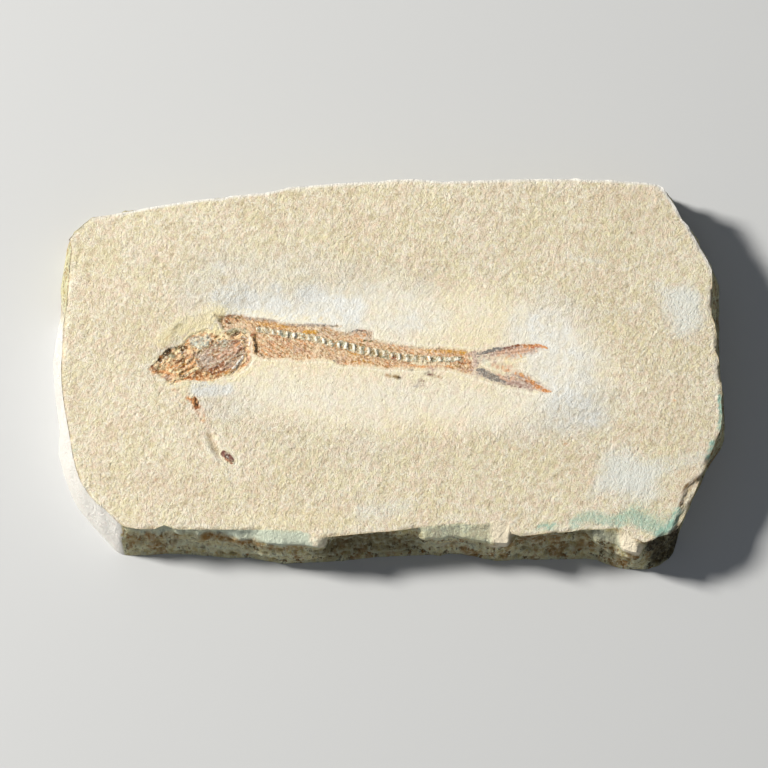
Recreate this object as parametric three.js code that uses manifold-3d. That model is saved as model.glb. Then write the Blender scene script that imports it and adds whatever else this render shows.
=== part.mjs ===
// A small fossil fish on a loose slab of pale bedded limestone, lying flat with the fish on top.
// Millimetres, +Z up, origin at the middle of the slab's underside. The head points to -X.
import * as THREE from 'three';
import { mergeVertices } from 'three/addons/utils/BufferGeometryUtils.js';
import Module from 'manifold-3d';

const wasm = await Module();
wasm.setup();

// Driving dimensions
const slabThickness = 9.5;
const bedLevel = 8.625;
const openAbove = 6;
const seatGap = 0.25;
const laminaDepth = 0.4;

const preparedMiddle = new THREE.Vector2(1, 0);
const preparedReach = new THREE.Vector2(31, 10.5);
const preparedDip = 0.18;
const waveHeight = 0.12;
const waveLength = 13;
const grainHeight = 0.06;
const grainLength = 1.9;
const faceRoughness = 0.55;
const facetLength = 3.2;
const bendVariety = 0.55;
const bendLength = 9;

const slabColumns = 44;
const slabRows = 26;
const sideHeights = [0, 0.28, 0.52, 0.74, 0.9, 1];

const vertebraCount = 27;
const stationsPerVertebra = 3;
const spineLevel = 0.375;
const gillLevel = 0.5;

// Rim of the top face, each edge as [x, y] points: south and north run to +X, west and east to +Y
const topRim = {
  south: [
    [-38.4, -23.6], [-37.2, -24.3], [-35.2, -24.6], [-31.4, -24.1], [-27.8, -24.6], [-16.9, -24.6],
    [-12.7, -24.8], [-10.3, -26], [-7.9, -25.6], [-2.3, -25.05], [4.2, -24.3], [9.9, -23.7],
    [14.7, -23.5], [16.4, -24.4], [17.6, -25.4], [20.3, -25.4], [25.9, -24.9], [33, -24.6],
    [35.6, -26.2], [37.6, -26], [39.9, -25.1],
  ],
  east: [
    [39.9, -25.1], [41.4, -23.2], [42.9, -20.4], [44.4, -17], [46.1, -12.8], [47.3, -9.9],
    [47.5, -5.9], [47.2, 0.4], [46.7, 1.8], [47, 3.9], [46.35, 7], [46.5, 13.5],
    [44.6, 17.4], [42.3, 21.1], [40.7, 24.2], [39, 26.4],
  ],
  north: [
    [-42.9, 21.4], [-39.2, 22], [-32.3, 23.3], [-23.9, 24.3], [-18, 25.1], [-14.5, 26],
    [-7.3, 26.6], [-0.8, 27.1], [7.9, 26.8], [16.9, 27.1], [27.1, 27.3], [33.3, 26.9], [39, 26.4],
  ],
  west: [
    [-38.4, -23.6], [-40.1, -21.8], [-42.6, -19.5], [-44.5, -15.8], [-45.8, -9.4], [-46.9, -1],
    [-46.3, 8.3], [-45.9, 15.2], [-46.1, 18.1], [-44.1, 20.4], [-42.9, 21.4],
  ],
};

// Outline of the underside, a little wider all round
const baseRim = {
  south: [
    [-38.2, -26.35], [-34.7, -26.5], [-26.1, -26.6], [-20.1, -26.85], [-14.95, -27.7], [-7.9, -27.25],
    [0.6, -26.6], [8.5, -26.3], [15.2, -27.25], [24.9, -27], [29.85, -27.2], [34, -28.5],
    [35.8, -28.6], [38.7, -28], [40.6, -26.7],
  ],
  east: [
    [40.6, -26.7], [41.8, -23.15], [43.6, -18.7], [46.1, -13.8], [48.1, -10.8], [49, -7.4],
    [48.4, -2], [48.25, 1.6], [48.3, 8.4], [48.4, 13.6], [47, 17.2], [44.5, 21.8], [40.5, 27.9],
  ],
  north: [
    [-44.3, 23.2], [-33, 25], [-24.5, 26], [-16.5, 27.1], [-10, 27.8], [-0.5, 28.5],
    [7.5, 28.3], [16, 28.6], [25, 28.6], [34, 28.3], [40.5, 27.9],
  ],
  west: [
    [-38.2, -26.35], [-41.4, -23.4], [-44.8, -19.5], [-47, -14.5], [-47.7, -9], [-48.9, -0.6],
    [-49, 2.4], [-48.3, 7.6], [-48, 13.4], [-47.3, 19.2], [-46.4, 21.4], [-44.3, 23.2],
  ],
};

// Hollows (and, below zero, swellings) of the broken front face, each [middle x, half width, depth]
const frontScallops = [
  [-30, 7, 0.35], [-16, 6.5, -0.55], [0.5, 10.5, 0.95], [11, 4, -0.4], [24, 8.5, 0.7], [36.5, 4, -0.5],
];

// Crack line of the thin top layer that broke away at the south-east corner
const laminaCrack = [
  [39.2, -26.6], [39.9, -24.9], [40.8, -22.6], [41.3, -21.2], [41.8, -19.5], [42.6, -17.9], [44.2, -16.6],
];

// Cross-sections of the fish's pieces, each [lower x, lower y, upper x, upper y], from head to tail
const skullSections = [
  [-34.3, -1.45, -34.3, -0.95], [-33.2, -1.9, -33.3, 0], [-32.2, -2.3, -32.4, 0.85],
  [-31.2, -3.1, -31.4, 1.5], [-30.4, -3.25, -30.4, 1.95], [-29.2, -2.8, -29.4, 2.75],
  [-28, -2.85, -28.2, 3.95], [-26.2, -2.9, -26.5, 4.6], [-24.9, -2.75, -24.9, 4.5],
  [-23.5, -2.1, -23.6, 4.2], [-22.3, -1.95, -22, 4.4], [-21.2, -1.2, -20.9, 4.2],
  [-20.5, -0.7, -20.3, 3.85], [-20.2, 0.1, -20.05, 3.2],
];
const gillCoverSections = [
  [-27.7, 0.1, -27.7, 0.8], [-27, -1.1, -26.9, 1.4], [-25.9, -1.7, -25.9, 2.1],
  [-24.6, -1.9, -24.8, 2.75], [-23.4, -1.7, -23.5, 3.1], [-22.3, -1.35, -22.2, 3.1],
  [-21.5, -0.7, -21.4, 2.9], [-21, 0, -20.9, 2.2], [-20.75, 0.7, -20.7, 1.5],
];
const shoulderBoneSections = [
  [-19.05, 1, -19.6, 1.1], [-18.9, 1.8, -19.45, 1.8], [-18.98, 2.6, -19.55, 2.6],
  [-19.15, 3.3, -19.75, 3.3], [-19.25, 4.05, -19.85, 4],
];
const trunkSections = [
  [-24.85, 5.15, -25, 6.9], [-23.2, 4.85, -23.2, 6.93], [-21.4, 4.75, -21.6, 6.9],
  [-20.2, 4.5, -20, 6.4], [-18.9, 4.2, -18.6, 6.25], [-18.75, 3, -18.1, 6.15],
  [-18.6, 1.8, -17.6, 6.05], [-18.6, 0.75, -17, 5.95], [-17, 0.4, -15.8, 5.65],
  [-14.4, 0.55, -14.2, 5.4], [-12.5, 0.15, -12.5, 5.4], [-10.1, 0.35, -9.9, 5.38],
  [-8, 0.1, -7.7, 4.6], [-6.5, -0.5, -6.2, 3.95], [-4.5, -0.5, -4.4, 3.6],
  [-2.4, -0.75, -2.4, 3.2], [-0.25, -1, -0.25, 2.8], [3.1, -1.05, 3.1, 2.15],
  [6.15, -1, 6.15, 1.88], [9.2, -1.15, 9.2, 1.75], [10.9, -1.7, 10.9, 1.6],
];
const dorsalFinSections = [
  [-5.95, 4.15, -5.9, 4.35], [-5.2, 4, -5.2, 4.55], [-4.6, 3.88, -4.6, 4.7],
  [-3.8, 3.75, -3.8, 4.7], [-2.9, 3.55, -2.9, 4.6], [-2.5, 3.5, -2.45, 4.3],
];
const upperLobeSections = [
  [11.15, -0.35, 11.15, 1.45], [12.5, 0.3, 12.5, 1.3], [14.2, 0.7, 14.2, 1.62],
  [16.9, 0.85, 16.5, 2.1], [19.1, 0.75, 19.1, 2.45], [21.3, 1.3, 21.5, 2.45], [22.6, 1.8, 22.75, 2.05],
];
const lowerLobeSections = [
  [11.15, -1.95, 11.15, 0.3], [12.3, -2.15, 12.6, -0.95], [13.85, -2.6, 14.2, -1.5],
  [15.4, -3.15, 16.2, -2], [18.5, -3.9, 18.6, -1.6], [20.3, -4.2, 20.2, -2.3],
  [21.85, -4.55, 21.4, -3.2], [22.9, -4.65, 23.1, -4.25],
];
const upperScrapSections = [
  [-28.2, -5.9, -28.2, -5.4], [-27.9, -6.9, -27.9, -5.2], [-27.4, -7.1, -27.5, -5.4], [-27.1, -6.6, -27.1, -6],
];
const lowerScrapSections = [
  [-23.8, -13.8, -23.6, -13.4], [-23.3, -14.4, -22.9, -13.7], [-22.7, -14.85, -22.35, -14.2],
  [-22.3, -15, -22.05, -14.65],
];

// Middle line of the backbone as [x, y, half height of the vertebrae]
const spineLine = [
  [-19, 4.75, 0.34], [-16.75, 4.4, 0.36], [-14.6, 3.95, 0.38], [-11.5, 3.55, 0.42], [-8.3, 2.7, 0.5],
  [-6.2, 2.3, 0.55], [-4, 1.65, 0.58], [-1.8, 1.3, 0.55], [0.45, 0.8, 0.5], [2.55, 0.5, 0.45],
  [5.9, 0.35, 0.38], [8.6, 0.28, 0.3], [10.3, 0.42, 0.25],
];

const finishes = {
  limestone: { color: 0xe6d9b8, roughness: 0.92, metalness: 0 },
  headBone: { color: 0xb58a5c, roughness: 0.7, metalness: 0 },
  gillPlate: { color: 0xb9a08c, roughness: 0.6, metalness: 0 },
  darkBone: { color: 0x82603c, roughness: 0.65, metalness: 0 },
  flankFilm: { color: 0xdbb394, roughness: 0.8, metalness: 0 },
  paleBone: { color: 0xcdbfa2, roughness: 0.7, metalness: 0 },
  finFilm: { color: 0xbf9484, roughness: 0.75, metalness: 0 },
  crumb: { color: 0x9a6a48, roughness: 0.8, metalness: 0 },
};

// Repeatable scatter between -1 and 1 for a whole-number grid corner
function scatter(i, j) {
  const wave = Math.sin(i * 127.1 + j * 311.7) * 43758.5453;
  return (wave - Math.floor(wave)) * 2 - 1;
}

// Smooth relief between -1 and 1 through the scatter of the grid corners
function relief(x, y) {
  const i = Math.floor(x);
  const j = Math.floor(y);
  const s = THREE.MathUtils.smoothstep(x - i, 0, 1);
  const t = THREE.MathUtils.smoothstep(y - j, 0, 1);
  const near = THREE.MathUtils.lerp(scatter(i, j), scatter(i + 1, j), s);
  const far = THREE.MathUtils.lerp(scatter(i, j + 1), scatter(i + 1, j + 1), s);
  return THREE.MathUtils.lerp(near, far, t);
}

// A closed block: a grid of faces on top, walls in layers below its rim, and a plain strip of faces underneath.
// place(u, v, w) gives each vertex, with u and v across the grid and w up the walls, all from 0 to 1.
function block(columns, rows, layers, place) {
  const points = [];
  const faces = [];
  const add = (i, j, k) => points.push(place(i / columns, j / rows, k / layers)) - 1;
  const quad = (a, b, c, d) => faces.push(a, b, c, a, c, d);

  const top = [];
  for (let i = 0; i <= columns; i += 1) {
    top.push(Array.from({ length: rows + 1 }, (_, j) => add(i, j, layers)));
  }
  for (let i = 0; i < columns; i += 1) {
    for (let j = 0; j < rows; j += 1) {
      quad(top[i][j], top[i + 1][j], top[i + 1][j + 1], top[i][j + 1]);
    }
  }

  const rim = [];
  for (let i = 0; i < columns; i += 1) rim.push([i, 0]);
  for (let j = 0; j < rows; j += 1) rim.push([columns, j]);
  for (let i = columns; i > 0; i -= 1) rim.push([i, rows]);
  for (let j = rows; j > 0; j -= 1) rim.push([0, j]);
  let upper = rim.map(([i, j]) => top[i][j]);
  for (let k = layers - 1; k >= 0; k -= 1) {
    const lower = rim.map(([i, j]) => add(i, j, k));
    for (let n = 0; n < rim.length; n += 1) {
      const next = (n + 1) % rim.length;
      quad(lower[n], lower[next], upper[next], upper[n]);
    }
    upper = lower;
  }

  const far = (i) => 2 * columns + rows - i;
  const fan = (apex, from, to) => {
    for (let n = from; n < to; n += 1) faces.push(upper[apex], upper[(n + 1) % rim.length], upper[n]);
  };
  for (let i = 1; i < columns - 1; i += 1) quad(upper[i], upper[far(i)], upper[far(i + 1)], upper[i + 1]);
  fan(1, far(1), rim.length);
  fan(far(columns - 1), columns - 1, far(columns));

  const geometry = new THREE.BufferGeometry();
  geometry.setAttribute('position', new THREE.Float32BufferAttribute(points.flat(), 3));
  geometry.setIndex(faces);
  return solidFrom(geometry);
}

function solidFrom(geometry) {
  const vertProperties = geometry.getAttribute('position').array;
  const triVerts = new Uint32Array(geometry.getIndex().array);
  return new wasm.Manifold(new wasm.Mesh({ numProp: 3, vertProperties, triVerts }));
}

function geometryFrom(solid) {
  const mesh = solid.getMesh();
  const geometry = new THREE.BufferGeometry();
  geometry.setAttribute('position', new THREE.BufferAttribute(mesh.vertProperties, 3));
  geometry.setIndex(new THREE.BufferAttribute(mesh.triVerts, 1));
  geometry.computeVertexNormals();
  return geometry;
}

// Slab: both outlines are filled by blending their four edges, and the sides join them
function edgePath(points) {
  return new THREE.Path(points.map(([x, y]) => new THREE.Vector2(x, y)));
}

function rimPatch(rim) {
  const south = edgePath(rim.south);
  const north = edgePath(rim.north);
  const west = edgePath(rim.west);
  const east = edgePath(rim.east);
  const [southWest, southEast] = [west.getPoint(0), east.getPoint(0)];
  const [northWest, northEast] = [west.getPoint(1), east.getPoint(1)];
  return (u, v) => {
    const across = south.getPoint(u).lerp(north.getPoint(u), v);
    const along = west.getPoint(v).lerp(east.getPoint(v), u);
    const corners = southWest.clone().lerp(southEast, u).lerp(northWest.clone().lerp(northEast, u), v);
    return across.add(along).sub(corners);
  };
}

// How far a place lies inside the smoothed zone around the fish, from 0 to 1
function prepared(x, y) {
  const reach = Math.hypot(
    (x - preparedMiddle.x) / preparedReach.x,
    (y - preparedMiddle.y) / preparedReach.y,
  );
  return 1 - THREE.MathUtils.smoothstep(reach, 0.75, 1.15);
}

function topHeight(x, y) {
  const smooth = prepared(x, y);
  const wave = waveHeight * relief(x / waveLength, y / waveLength) * (1 - smooth);
  const grain = grainHeight * relief(x / grainLength, y / grainLength) * (1 - smooth);
  return slabThickness + wave + grain - preparedDip * smooth;
}

// Share of the way from the top rim out to the base outline at a height from 0 to 1
function sideFlare(x, y, height) {
  const bend = 1 + bendVariety * relief(x / bendLength, y / bendLength);
  return (1 - height) ** bend;
}

function scallopDepth(x, y) {
  if (y > 0) return 0;
  return frontScallops.reduce((depth, [middle, halfWidth, deep]) => {
    const reach = Math.min(1, Math.abs(x - middle) / halfWidth);
    return depth + deep * Math.cos((reach * Math.PI) / 2) ** 2;
  }, 0);
}

function slabBlock() {
  const topPatch = rimPatch(topRim);
  const basePatch = rimPatch(baseRim);
  const layers = sideHeights.length - 1;
  return block(slabColumns, slabRows, layers, (u, v, w) => {
    const top = topPatch(u, v);
    const base = basePatch(u, v);
    const height = sideHeights[Math.round(w * layers)];
    if (height === 0) return [base.x, base.y, 0];
    const outward = base.clone().sub(top).normalize();
    const facet = relief((top.x + top.y) / facetLength, height * layers + top.x - top.y);
    const bulge = (faceRoughness * facet - scallopDepth(top.x, top.y)) * Math.sin(Math.PI * height);
    const place = top.clone().lerp(base, sideFlare(top.x, top.y, height)).addScaledVector(outward, bulge);
    return [place.x, place.y, height * topHeight(top.x, top.y)];
  });
}

// An upright prism of an outline, from a level upwards
function prism(points, level, height) {
  const shape = new THREE.Shape(points);
  const geometry = new THREE.ExtrudeGeometry(shape, { depth: height, bevelEnabled: false });
  geometry.deleteAttribute('normal');
  geometry.deleteAttribute('uv');
  geometry.translate(0, 0, level);
  return solidFrom(mergeVertices(geometry));
}

function brokenLamina() {
  const outside = 8;
  const crack = laminaCrack.map(([x, y]) => new THREE.Vector2(x, y));
  const below = crack[0].clone().add(new THREE.Vector2(outside, -outside));
  const beside = crack.at(-1).clone().add(new THREE.Vector2(outside, 0));
  return prism([below, beside, ...crack.toReversed()], slabThickness - laminaDepth, openAbove);
}

// Fish pieces: ribbons between cross-sections, flat below, with a relief on top
function sectionPaths(sections) {
  const middles = sections.map(([ax, ay, bx, by]) => new THREE.Vector2((ax + bx) / 2, (ay + by) / 2));
  const reached = [0];
  for (let i = 1; i < middles.length; i += 1) {
    reached.push(reached[i - 1] + middles[i].distanceTo(middles[i - 1]));
  }
  return (u) => {
    const along = u * reached.at(-1);
    const found = reached.findIndex((length) => length >= along);
    const i = Math.max(1, found < 0 ? sections.length - 1 : found);
    const share = (along - reached[i - 1]) / (reached[i] - reached[i - 1]);
    const [ax, ay, bx, by] = sections[i].map((value, k) => THREE.MathUtils.lerp(sections[i - 1][k], value, share));
    return [new THREE.Vector2(ax, ay), new THREE.Vector2(bx, by)];
  };
}

function ribbon(sections, stations, lanes, heightAt) {
  const sectionAt = sectionPaths(sections);
  return block(stations, lanes, 1, (u, v, w) => {
    const [lower, upper] = sectionAt(u);
    const place = lower.lerp(upper, v);
    return [place.x, place.y, w === 0 ? 0 : heightAt(u, v, place.x, place.y)];
  });
}

// The open space around and above a ribbon: its outline, pushed outwards by the gap
function seat(sections, level) {
  const lower = sections.map(([x, y]) => new THREE.Vector2(x, y));
  const upper = sections.map((section) => new THREE.Vector2(section[2], section[3]));
  const outline = [...lower, ...upper.toReversed()];
  const outward = outline.map((point, i) => {
    const next = outline[(i + 1) % outline.length];
    return new THREE.Vector2(next.y - point.y, point.x - next.x).normalize();
  });
  const pushed = outline.map((point, i) => {
    const before = outward.at(i - 1);
    const after = outward[i];
    const reach = seatGap / Math.max(0.5, 1 + before.dot(after));
    return point.clone().addScaledVector(before, reach).addScaledVector(after, reach);
  });
  return prism(pushed, level, openAbove);
}

// Height that is low at both long edges of a ribbon and full along its middle
function arched(edge, middle, v) {
  return edge + (middle - edge) * Math.sqrt(Math.sin(Math.PI * v));
}

function hollow(x, y, middleX, middleY, radius, depth) {
  const reach = Math.hypot(x - middleX, y - middleY) / radius;
  return depth * (1 - THREE.MathUtils.smoothstep(reach, 0.2, 1));
}

function skullBlock() {
  const roof = ribbon(skullSections, 24, 12, (u, v, x, y) => {
    const swell = arched(0.6, 1.12, v) * (0.82 + 0.18 * Math.sin(Math.PI * u));
    const knobs = 0.12 * relief(x / 1.1, y / 1.1);
    return swell + knobs - hollow(x, y, -31.1, 0.5, 1.2, 0.4) - hollow(x, y, -25.9, 3.2, 1, 0.2);
  });
  return roof.subtract(seat(gillCoverSections, gillLevel));
}

function gillCoverBlock() {
  return ribbon(gillCoverSections, 14, 8, (u, v, x, y) => {
    const rim = arched(0.28, 0.62, v) * (0.75 + 0.25 * Math.sin(Math.PI * u));
    return rim + 0.05 * relief(x / 0.9, y / 0.9);
  });
}

function shoulderBoneBlock() {
  return ribbon(shoulderBoneSections, 6, 2, (u, v) => arched(0.7, 1.05, v));
}

function spineSections() {
  const slopes = spineLine.map(([x, y], i) => {
    const [beforeX, beforeY] = spineLine[Math.max(0, i - 1)];
    const [afterX, afterY] = spineLine[Math.min(spineLine.length - 1, i + 1)];
    return new THREE.Vector2(beforeY - afterY, afterX - beforeX).normalize();
  });
  return spineLine.map(([x, y, half], i) => [
    x - slopes[i].x * half,
    y - slopes[i].y * half,
    x + slopes[i].x * half,
    y + slopes[i].y * half,
  ]);
}

function trunkBlock() {
  const ribPitch = 1.08;
  const ribLean = 0.55;
  const film = ribbon(trunkSections, 72, 5, (u, v, x, y) => {
    const rib = Math.cos((2 * Math.PI * (x + ribLean * y)) / ribPitch);
    return arched(0.52, 0.74, v) + 0.045 * rib;
  });
  return film.subtract(seat(spineSections(), spineLevel));
}

function backboneBlock() {
  return ribbon(spineSections(), vertebraCount * stationsPerVertebra, 4, (u, v) => {
    const rim = 0.5 + 0.5 * Math.cos(2 * Math.PI * vertebraCount * u);
    return arched(0.3, 0.5 + 0.2 * rim, v);
  });
}

function dorsalFinBlock() {
  return ribbon(dorsalFinSections, 10, 3, (u, v, x) => arched(0.5, 0.78, v) + 0.04 * Math.cos(12 * x));
}

function tailFinBlock() {
  const lobeHeight = (u, v, x, y) => {
    const ray = 0.05 * Math.cos(2 * Math.PI * 3 * v);
    return arched(0.6, 0.8, v) * (1 - 0.16 * u) + ray;
  };
  const upperLobe = ribbon(upperLobeSections, 16, 5, lobeHeight);
  const lowerLobe = ribbon(lowerLobeSections, 16, 5, lobeHeight);
  return upperLobe.add(lowerLobe);
}

function scrapBlock(sections) {
  return ribbon(sections, 6, 5, (u, v, x, y) => {
    const dome = arched(0.65, 1.15, v) * (0.75 + 0.25 * Math.sin(Math.PI * u));
    return dome + 0.08 * relief(x / 0.4, y / 0.4);
  });
}

function limestoneBlock() {
  const seated = [
    skullSections, shoulderBoneSections, trunkSections, dorsalFinSections,
    upperLobeSections, lowerLobeSections, upperScrapSections, lowerScrapSections,
  ];
  const stone = slabBlock().subtract(brokenLamina());
  return seated.reduce((rest, sections) => rest.subtract(seat(sections, bedLevel)), stone);
}

function piece(name, solid, finish) {
  const mesh = new THREE.Mesh(geometryFrom(solid), new THREE.MeshStandardMaterial(finishes[finish]));
  mesh.name = name;
  return mesh;
}

// Assembly
const specimen = new THREE.Group();
specimen.add(piece('limestone_slab', limestoneBlock(), 'limestone'));

const fish = new THREE.Group();
fish.position.z = bedLevel;
fish.add(piece('skull', skullBlock(), 'headBone'));
fish.add(piece('shoulder_bone', shoulderBoneBlock(), 'darkBone'));
fish.add(piece('trunk', trunkBlock(), 'flankFilm'));
fish.add(piece('dorsal_fin', dorsalFinBlock(), 'finFilm'));
fish.add(piece('tail_fin', tailFinBlock(), 'finFilm'));
fish.add(piece('bone_scrap_upper', scrapBlock(upperScrapSections), 'crumb'));
fish.add(piece('bone_scrap_lower', scrapBlock(lowerScrapSections), 'crumb'));

const gillCover = piece('gill_cover', gillCoverBlock(), 'gillPlate');
gillCover.position.z = gillLevel;
fish.add(gillCover);

const backbone = piece('backbone', backboneBlock(), 'paleBone');
backbone.position.z = spineLevel;
fish.add(backbone);

specimen.add(fish);

export default specimen;
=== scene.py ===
# A small fossil fish on a loose slab of pale bedded limestone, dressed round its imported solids.
# Shapes are worked out in millimetres in the frame of the solids and made in metres.
import itertools
import math

import bpy
import numpy as np
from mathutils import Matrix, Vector


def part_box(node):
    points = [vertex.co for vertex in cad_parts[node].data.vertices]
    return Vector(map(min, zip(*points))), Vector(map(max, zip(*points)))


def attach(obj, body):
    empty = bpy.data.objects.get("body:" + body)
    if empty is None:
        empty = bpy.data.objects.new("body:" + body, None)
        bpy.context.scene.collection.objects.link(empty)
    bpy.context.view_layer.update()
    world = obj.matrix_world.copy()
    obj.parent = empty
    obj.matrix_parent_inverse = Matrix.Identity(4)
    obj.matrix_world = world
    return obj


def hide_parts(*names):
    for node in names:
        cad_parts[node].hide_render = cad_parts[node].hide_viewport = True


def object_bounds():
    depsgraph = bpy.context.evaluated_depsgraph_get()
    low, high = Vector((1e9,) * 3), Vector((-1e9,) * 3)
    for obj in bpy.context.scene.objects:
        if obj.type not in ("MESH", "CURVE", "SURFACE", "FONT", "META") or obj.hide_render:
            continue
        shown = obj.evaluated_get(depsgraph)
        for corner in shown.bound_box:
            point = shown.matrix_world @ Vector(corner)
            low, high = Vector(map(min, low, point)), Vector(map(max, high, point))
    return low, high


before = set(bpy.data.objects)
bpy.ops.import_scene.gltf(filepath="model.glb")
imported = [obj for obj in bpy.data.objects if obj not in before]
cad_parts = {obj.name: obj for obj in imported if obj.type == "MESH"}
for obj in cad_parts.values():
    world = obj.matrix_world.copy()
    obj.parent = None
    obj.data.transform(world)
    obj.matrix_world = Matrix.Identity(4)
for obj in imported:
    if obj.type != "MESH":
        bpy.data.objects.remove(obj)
cadLow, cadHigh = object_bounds()
mm = 0.001

# Repeatable scatter
dice = np.random.default_rng(20)
shuffle = dice.permutation(256)
slants = dice.normal(size=(256, 3))
slants /= np.linalg.norm(slants, axis=1)[:, None]


def cellDraw(cell):                       # one of 256 draws for each whole-number corner
    first = shuffle[cell[:, 0] & 255]
    second = shuffle[(first + cell[:, 1]) & 255]
    return shuffle[(second + cell[:, 2]) & 255]


def noise(points, length, seed=0):        # smooth scatter, about -1 to 1, with bumps of that length
    at = points / length + seed * 17.37
    low = np.floor(at).astype(int)
    part = at - low
    ease = part ** 3 * (part * (part * 6 - 15) + 10)
    total = np.zeros(len(points))
    for corner in itertools.product((0, 1), repeat=3):
        push = ((part - corner) * slants[cellDraw(low + corner)]).sum(axis=1)
        total += push * np.prod(np.where(corner, ease, 1 - ease), axis=1)
    return total * 1.9


def scoops(points, length, seed=0):       # 1 in the middle of each struck hollow, 0 on the arrises between
    at = points / length + seed * 9.71
    low = np.floor(at).astype(int)
    nearest = np.full(len(points), 9.0)
    for step in itertools.product((-1, 0, 1), repeat=3):
        cell = low + step
        middle = cell + 0.5 + 0.45 * slants[cellDraw(cell)]
        nearest = np.minimum(nearest, ((at - middle) ** 2).sum(axis=1))
    return 1 - np.minimum(nearest, 1)


def smooth(value, start, end):            # 0 before start, 1 after end
    share = np.clip((value - start) / (end - start), 0, 1)
    return share * share * (3 - 2 * share)


def flat(x, y, z=0.0):
    x, y = np.broadcast_arrays(np.asarray(x, float), np.asarray(y, float))
    return np.stack([x, y, np.full_like(x, z)], axis=-1)


def between(table, x):                    # the value at x, from a table of (x, value)
    return np.interp(x, *np.transpose(table))


def drift(ground, length, seed):          # sideways wander in x and y
    return np.stack([noise(ground, length, seed), noise(ground, length, seed + 1)], axis=1)


def grit(ground, *parts):                 # roughness in mm, its parts given as (height, length, seed)
    return sum(height * noise(ground, length, seed) for height, length, seed in parts)


def grainwise(ground, degrees, share):    # drawn out along a direction, so that noise turns to streaks
    turn = math.radians(degrees)
    along = ground[:, 0] * math.cos(turn) + ground[:, 1] * math.sin(turn)
    across = ground[:, 1] * math.cos(turn) - ground[:, 0] * math.sin(turn)
    return flat(along * share, across)


def awayFrom(route, points):              # distance from a line of given points
    route = np.asarray(route, float)
    if len(route) == 1:
        return np.hypot(*(points - route[0]).T)
    away = np.full(len(points), np.inf)
    for start, end in zip(route[:-1], route[1:]):
        run = end - start
        share = np.clip((points - start) @ run / (run @ run), 0, 1)
        away = np.minimum(away, np.hypot(*(points - start - share[:, None] * run).T))
    return away


def insideBy(outline, points):            # how far points lie inside an outline, negative outside
    closed = np.array([*outline, outline[0]], float)
    inside = np.zeros(len(points), bool)
    for (ax, ay), (bx, by) in zip(closed[:-1], closed[1:]):
        spans = (ay > points[:, 1]) != (by > points[:, 1])
        if ay != by:
            crossing = ax + (points[:, 1] - ay) * (bx - ax) / (by - ay)
            inside ^= spans & (points[:, 0] < crossing)
    away = awayFrom(closed, points)
    return np.where(inside, away, -away)


# Outlines of the stone: each edge as (x, y) points, south and north run to +X, west and east to +Y
topRim = {
    "south": [
        (-38.4, -23.6), (-37.2, -24.3), (-35.2, -24.6), (-33, -24.5), (-31.8, -24.0), (-30.3, -24.6),
        (-27.8, -24.6), (-22, -24.65), (-16.9, -24.6), (-12.7, -24.8), (-11.3, -25.2), (-10.3, -26.0),
        (-9.3, -25.8), (-7.9, -25.6), (-4.5, -25.3), (-2.3, -25.05), (0, -24.9), (2.3, -24.6),
        (4.2, -24.3), (5.9, -24.1), (7.9, -23.9), (9.9, -23.7), (11.8, -23.9), (13.5, -23.8),
        (14.7, -23.5), (15.6, -23.6), (16.9, -23.9), (17.5, -25.2), (18.6, -25.6), (20.3, -25.4),
        (22.9, -25.1), (25.9, -24.9), (27.4, -24.6), (29.85, -24.6), (31.8, -24.4), (33.3, -24.6),
        (34.4, -25.7), (36, -26.5), (37.2, -26.2), (38.2, -25.6), (39.9, -25.1),
    ],
    "east": [
        (39.9, -25.1), (40.9, -24.4), (41.7, -23.0), (42.9, -20.4), (43.6, -18.7), (44.9, -15.8),
        (45.5, -14.3), (46.1, -12.8), (46.7, -11.3), (47.3, -9.9), (47.5, -8.1), (47.4, -5.9),
        (47.6, -4.9), (47.5, -3.2), (47.3, -1.2), (47.2, 0.4), (46.7, 1.6), (47.1, 2.4), (47, 3.9),
        (46.7, 5.7), (46.3, 6.85), (46.4, 8.8), (46.5, 11.5), (46.5, 13.5), (45.9, 15.0),
        (44.6, 17.4), (43.15, 20.3), (42.3, 21.1), (41.7, 22.6), (40.7, 24.2), (39.7, 25.9), (39, 26.4),
    ],
    "north": [
        (-42.9, 21.4), (-40.1, 21.9), (-39.2, 22.0), (-36.7, 22.5), (-34.7, 22.9), (-32.3, 23.3),
        (-29.1, 23.85), (-26.4, 24.2), (-23.9, 24.3), (-22.9, 24.7), (-20, 24.95), (-18, 25.1),
        (-16.4, 25.45), (-14.5, 26.0), (-12.1, 26.2), (-7.3, 26.6), (-2.5, 26.8), (1.4, 27.2),
        (4.2, 27.15), (7.9, 26.8), (13.3, 27.0), (20, 27.2), (24.9, 27.2), (27.1, 27.35),
        (28.4, 27.05), (31.6, 27.1), (33.3, 26.9), (36, 26.8), (39, 26.4),
    ],
    "west": [
        (-38.4, -23.6), (-39.2, -22.8), (-40.1, -21.8), (-41.4, -20.9), (-42.6, -19.5), (-43.8, -17.7),
        (-44.5, -15.8), (-45, -13.8), (-45.4, -11.6), (-45.8, -9.4), (-46.2, -7.4), (-46.6, -4.9),
        (-46.8, -3), (-46.9, -1), (-46.8, 1.7), (-46.7, 5.4), (-46.3, 8.3), (-46.2, 10.3),
        (-46.1, 12.8), (-45.9, 15.2), (-45.8, 17.6), (-46.2, 18.1), (-45.0, 19.5), (-44.1, 20.4),
        (-42.9, 21.4),
    ],
}
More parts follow.
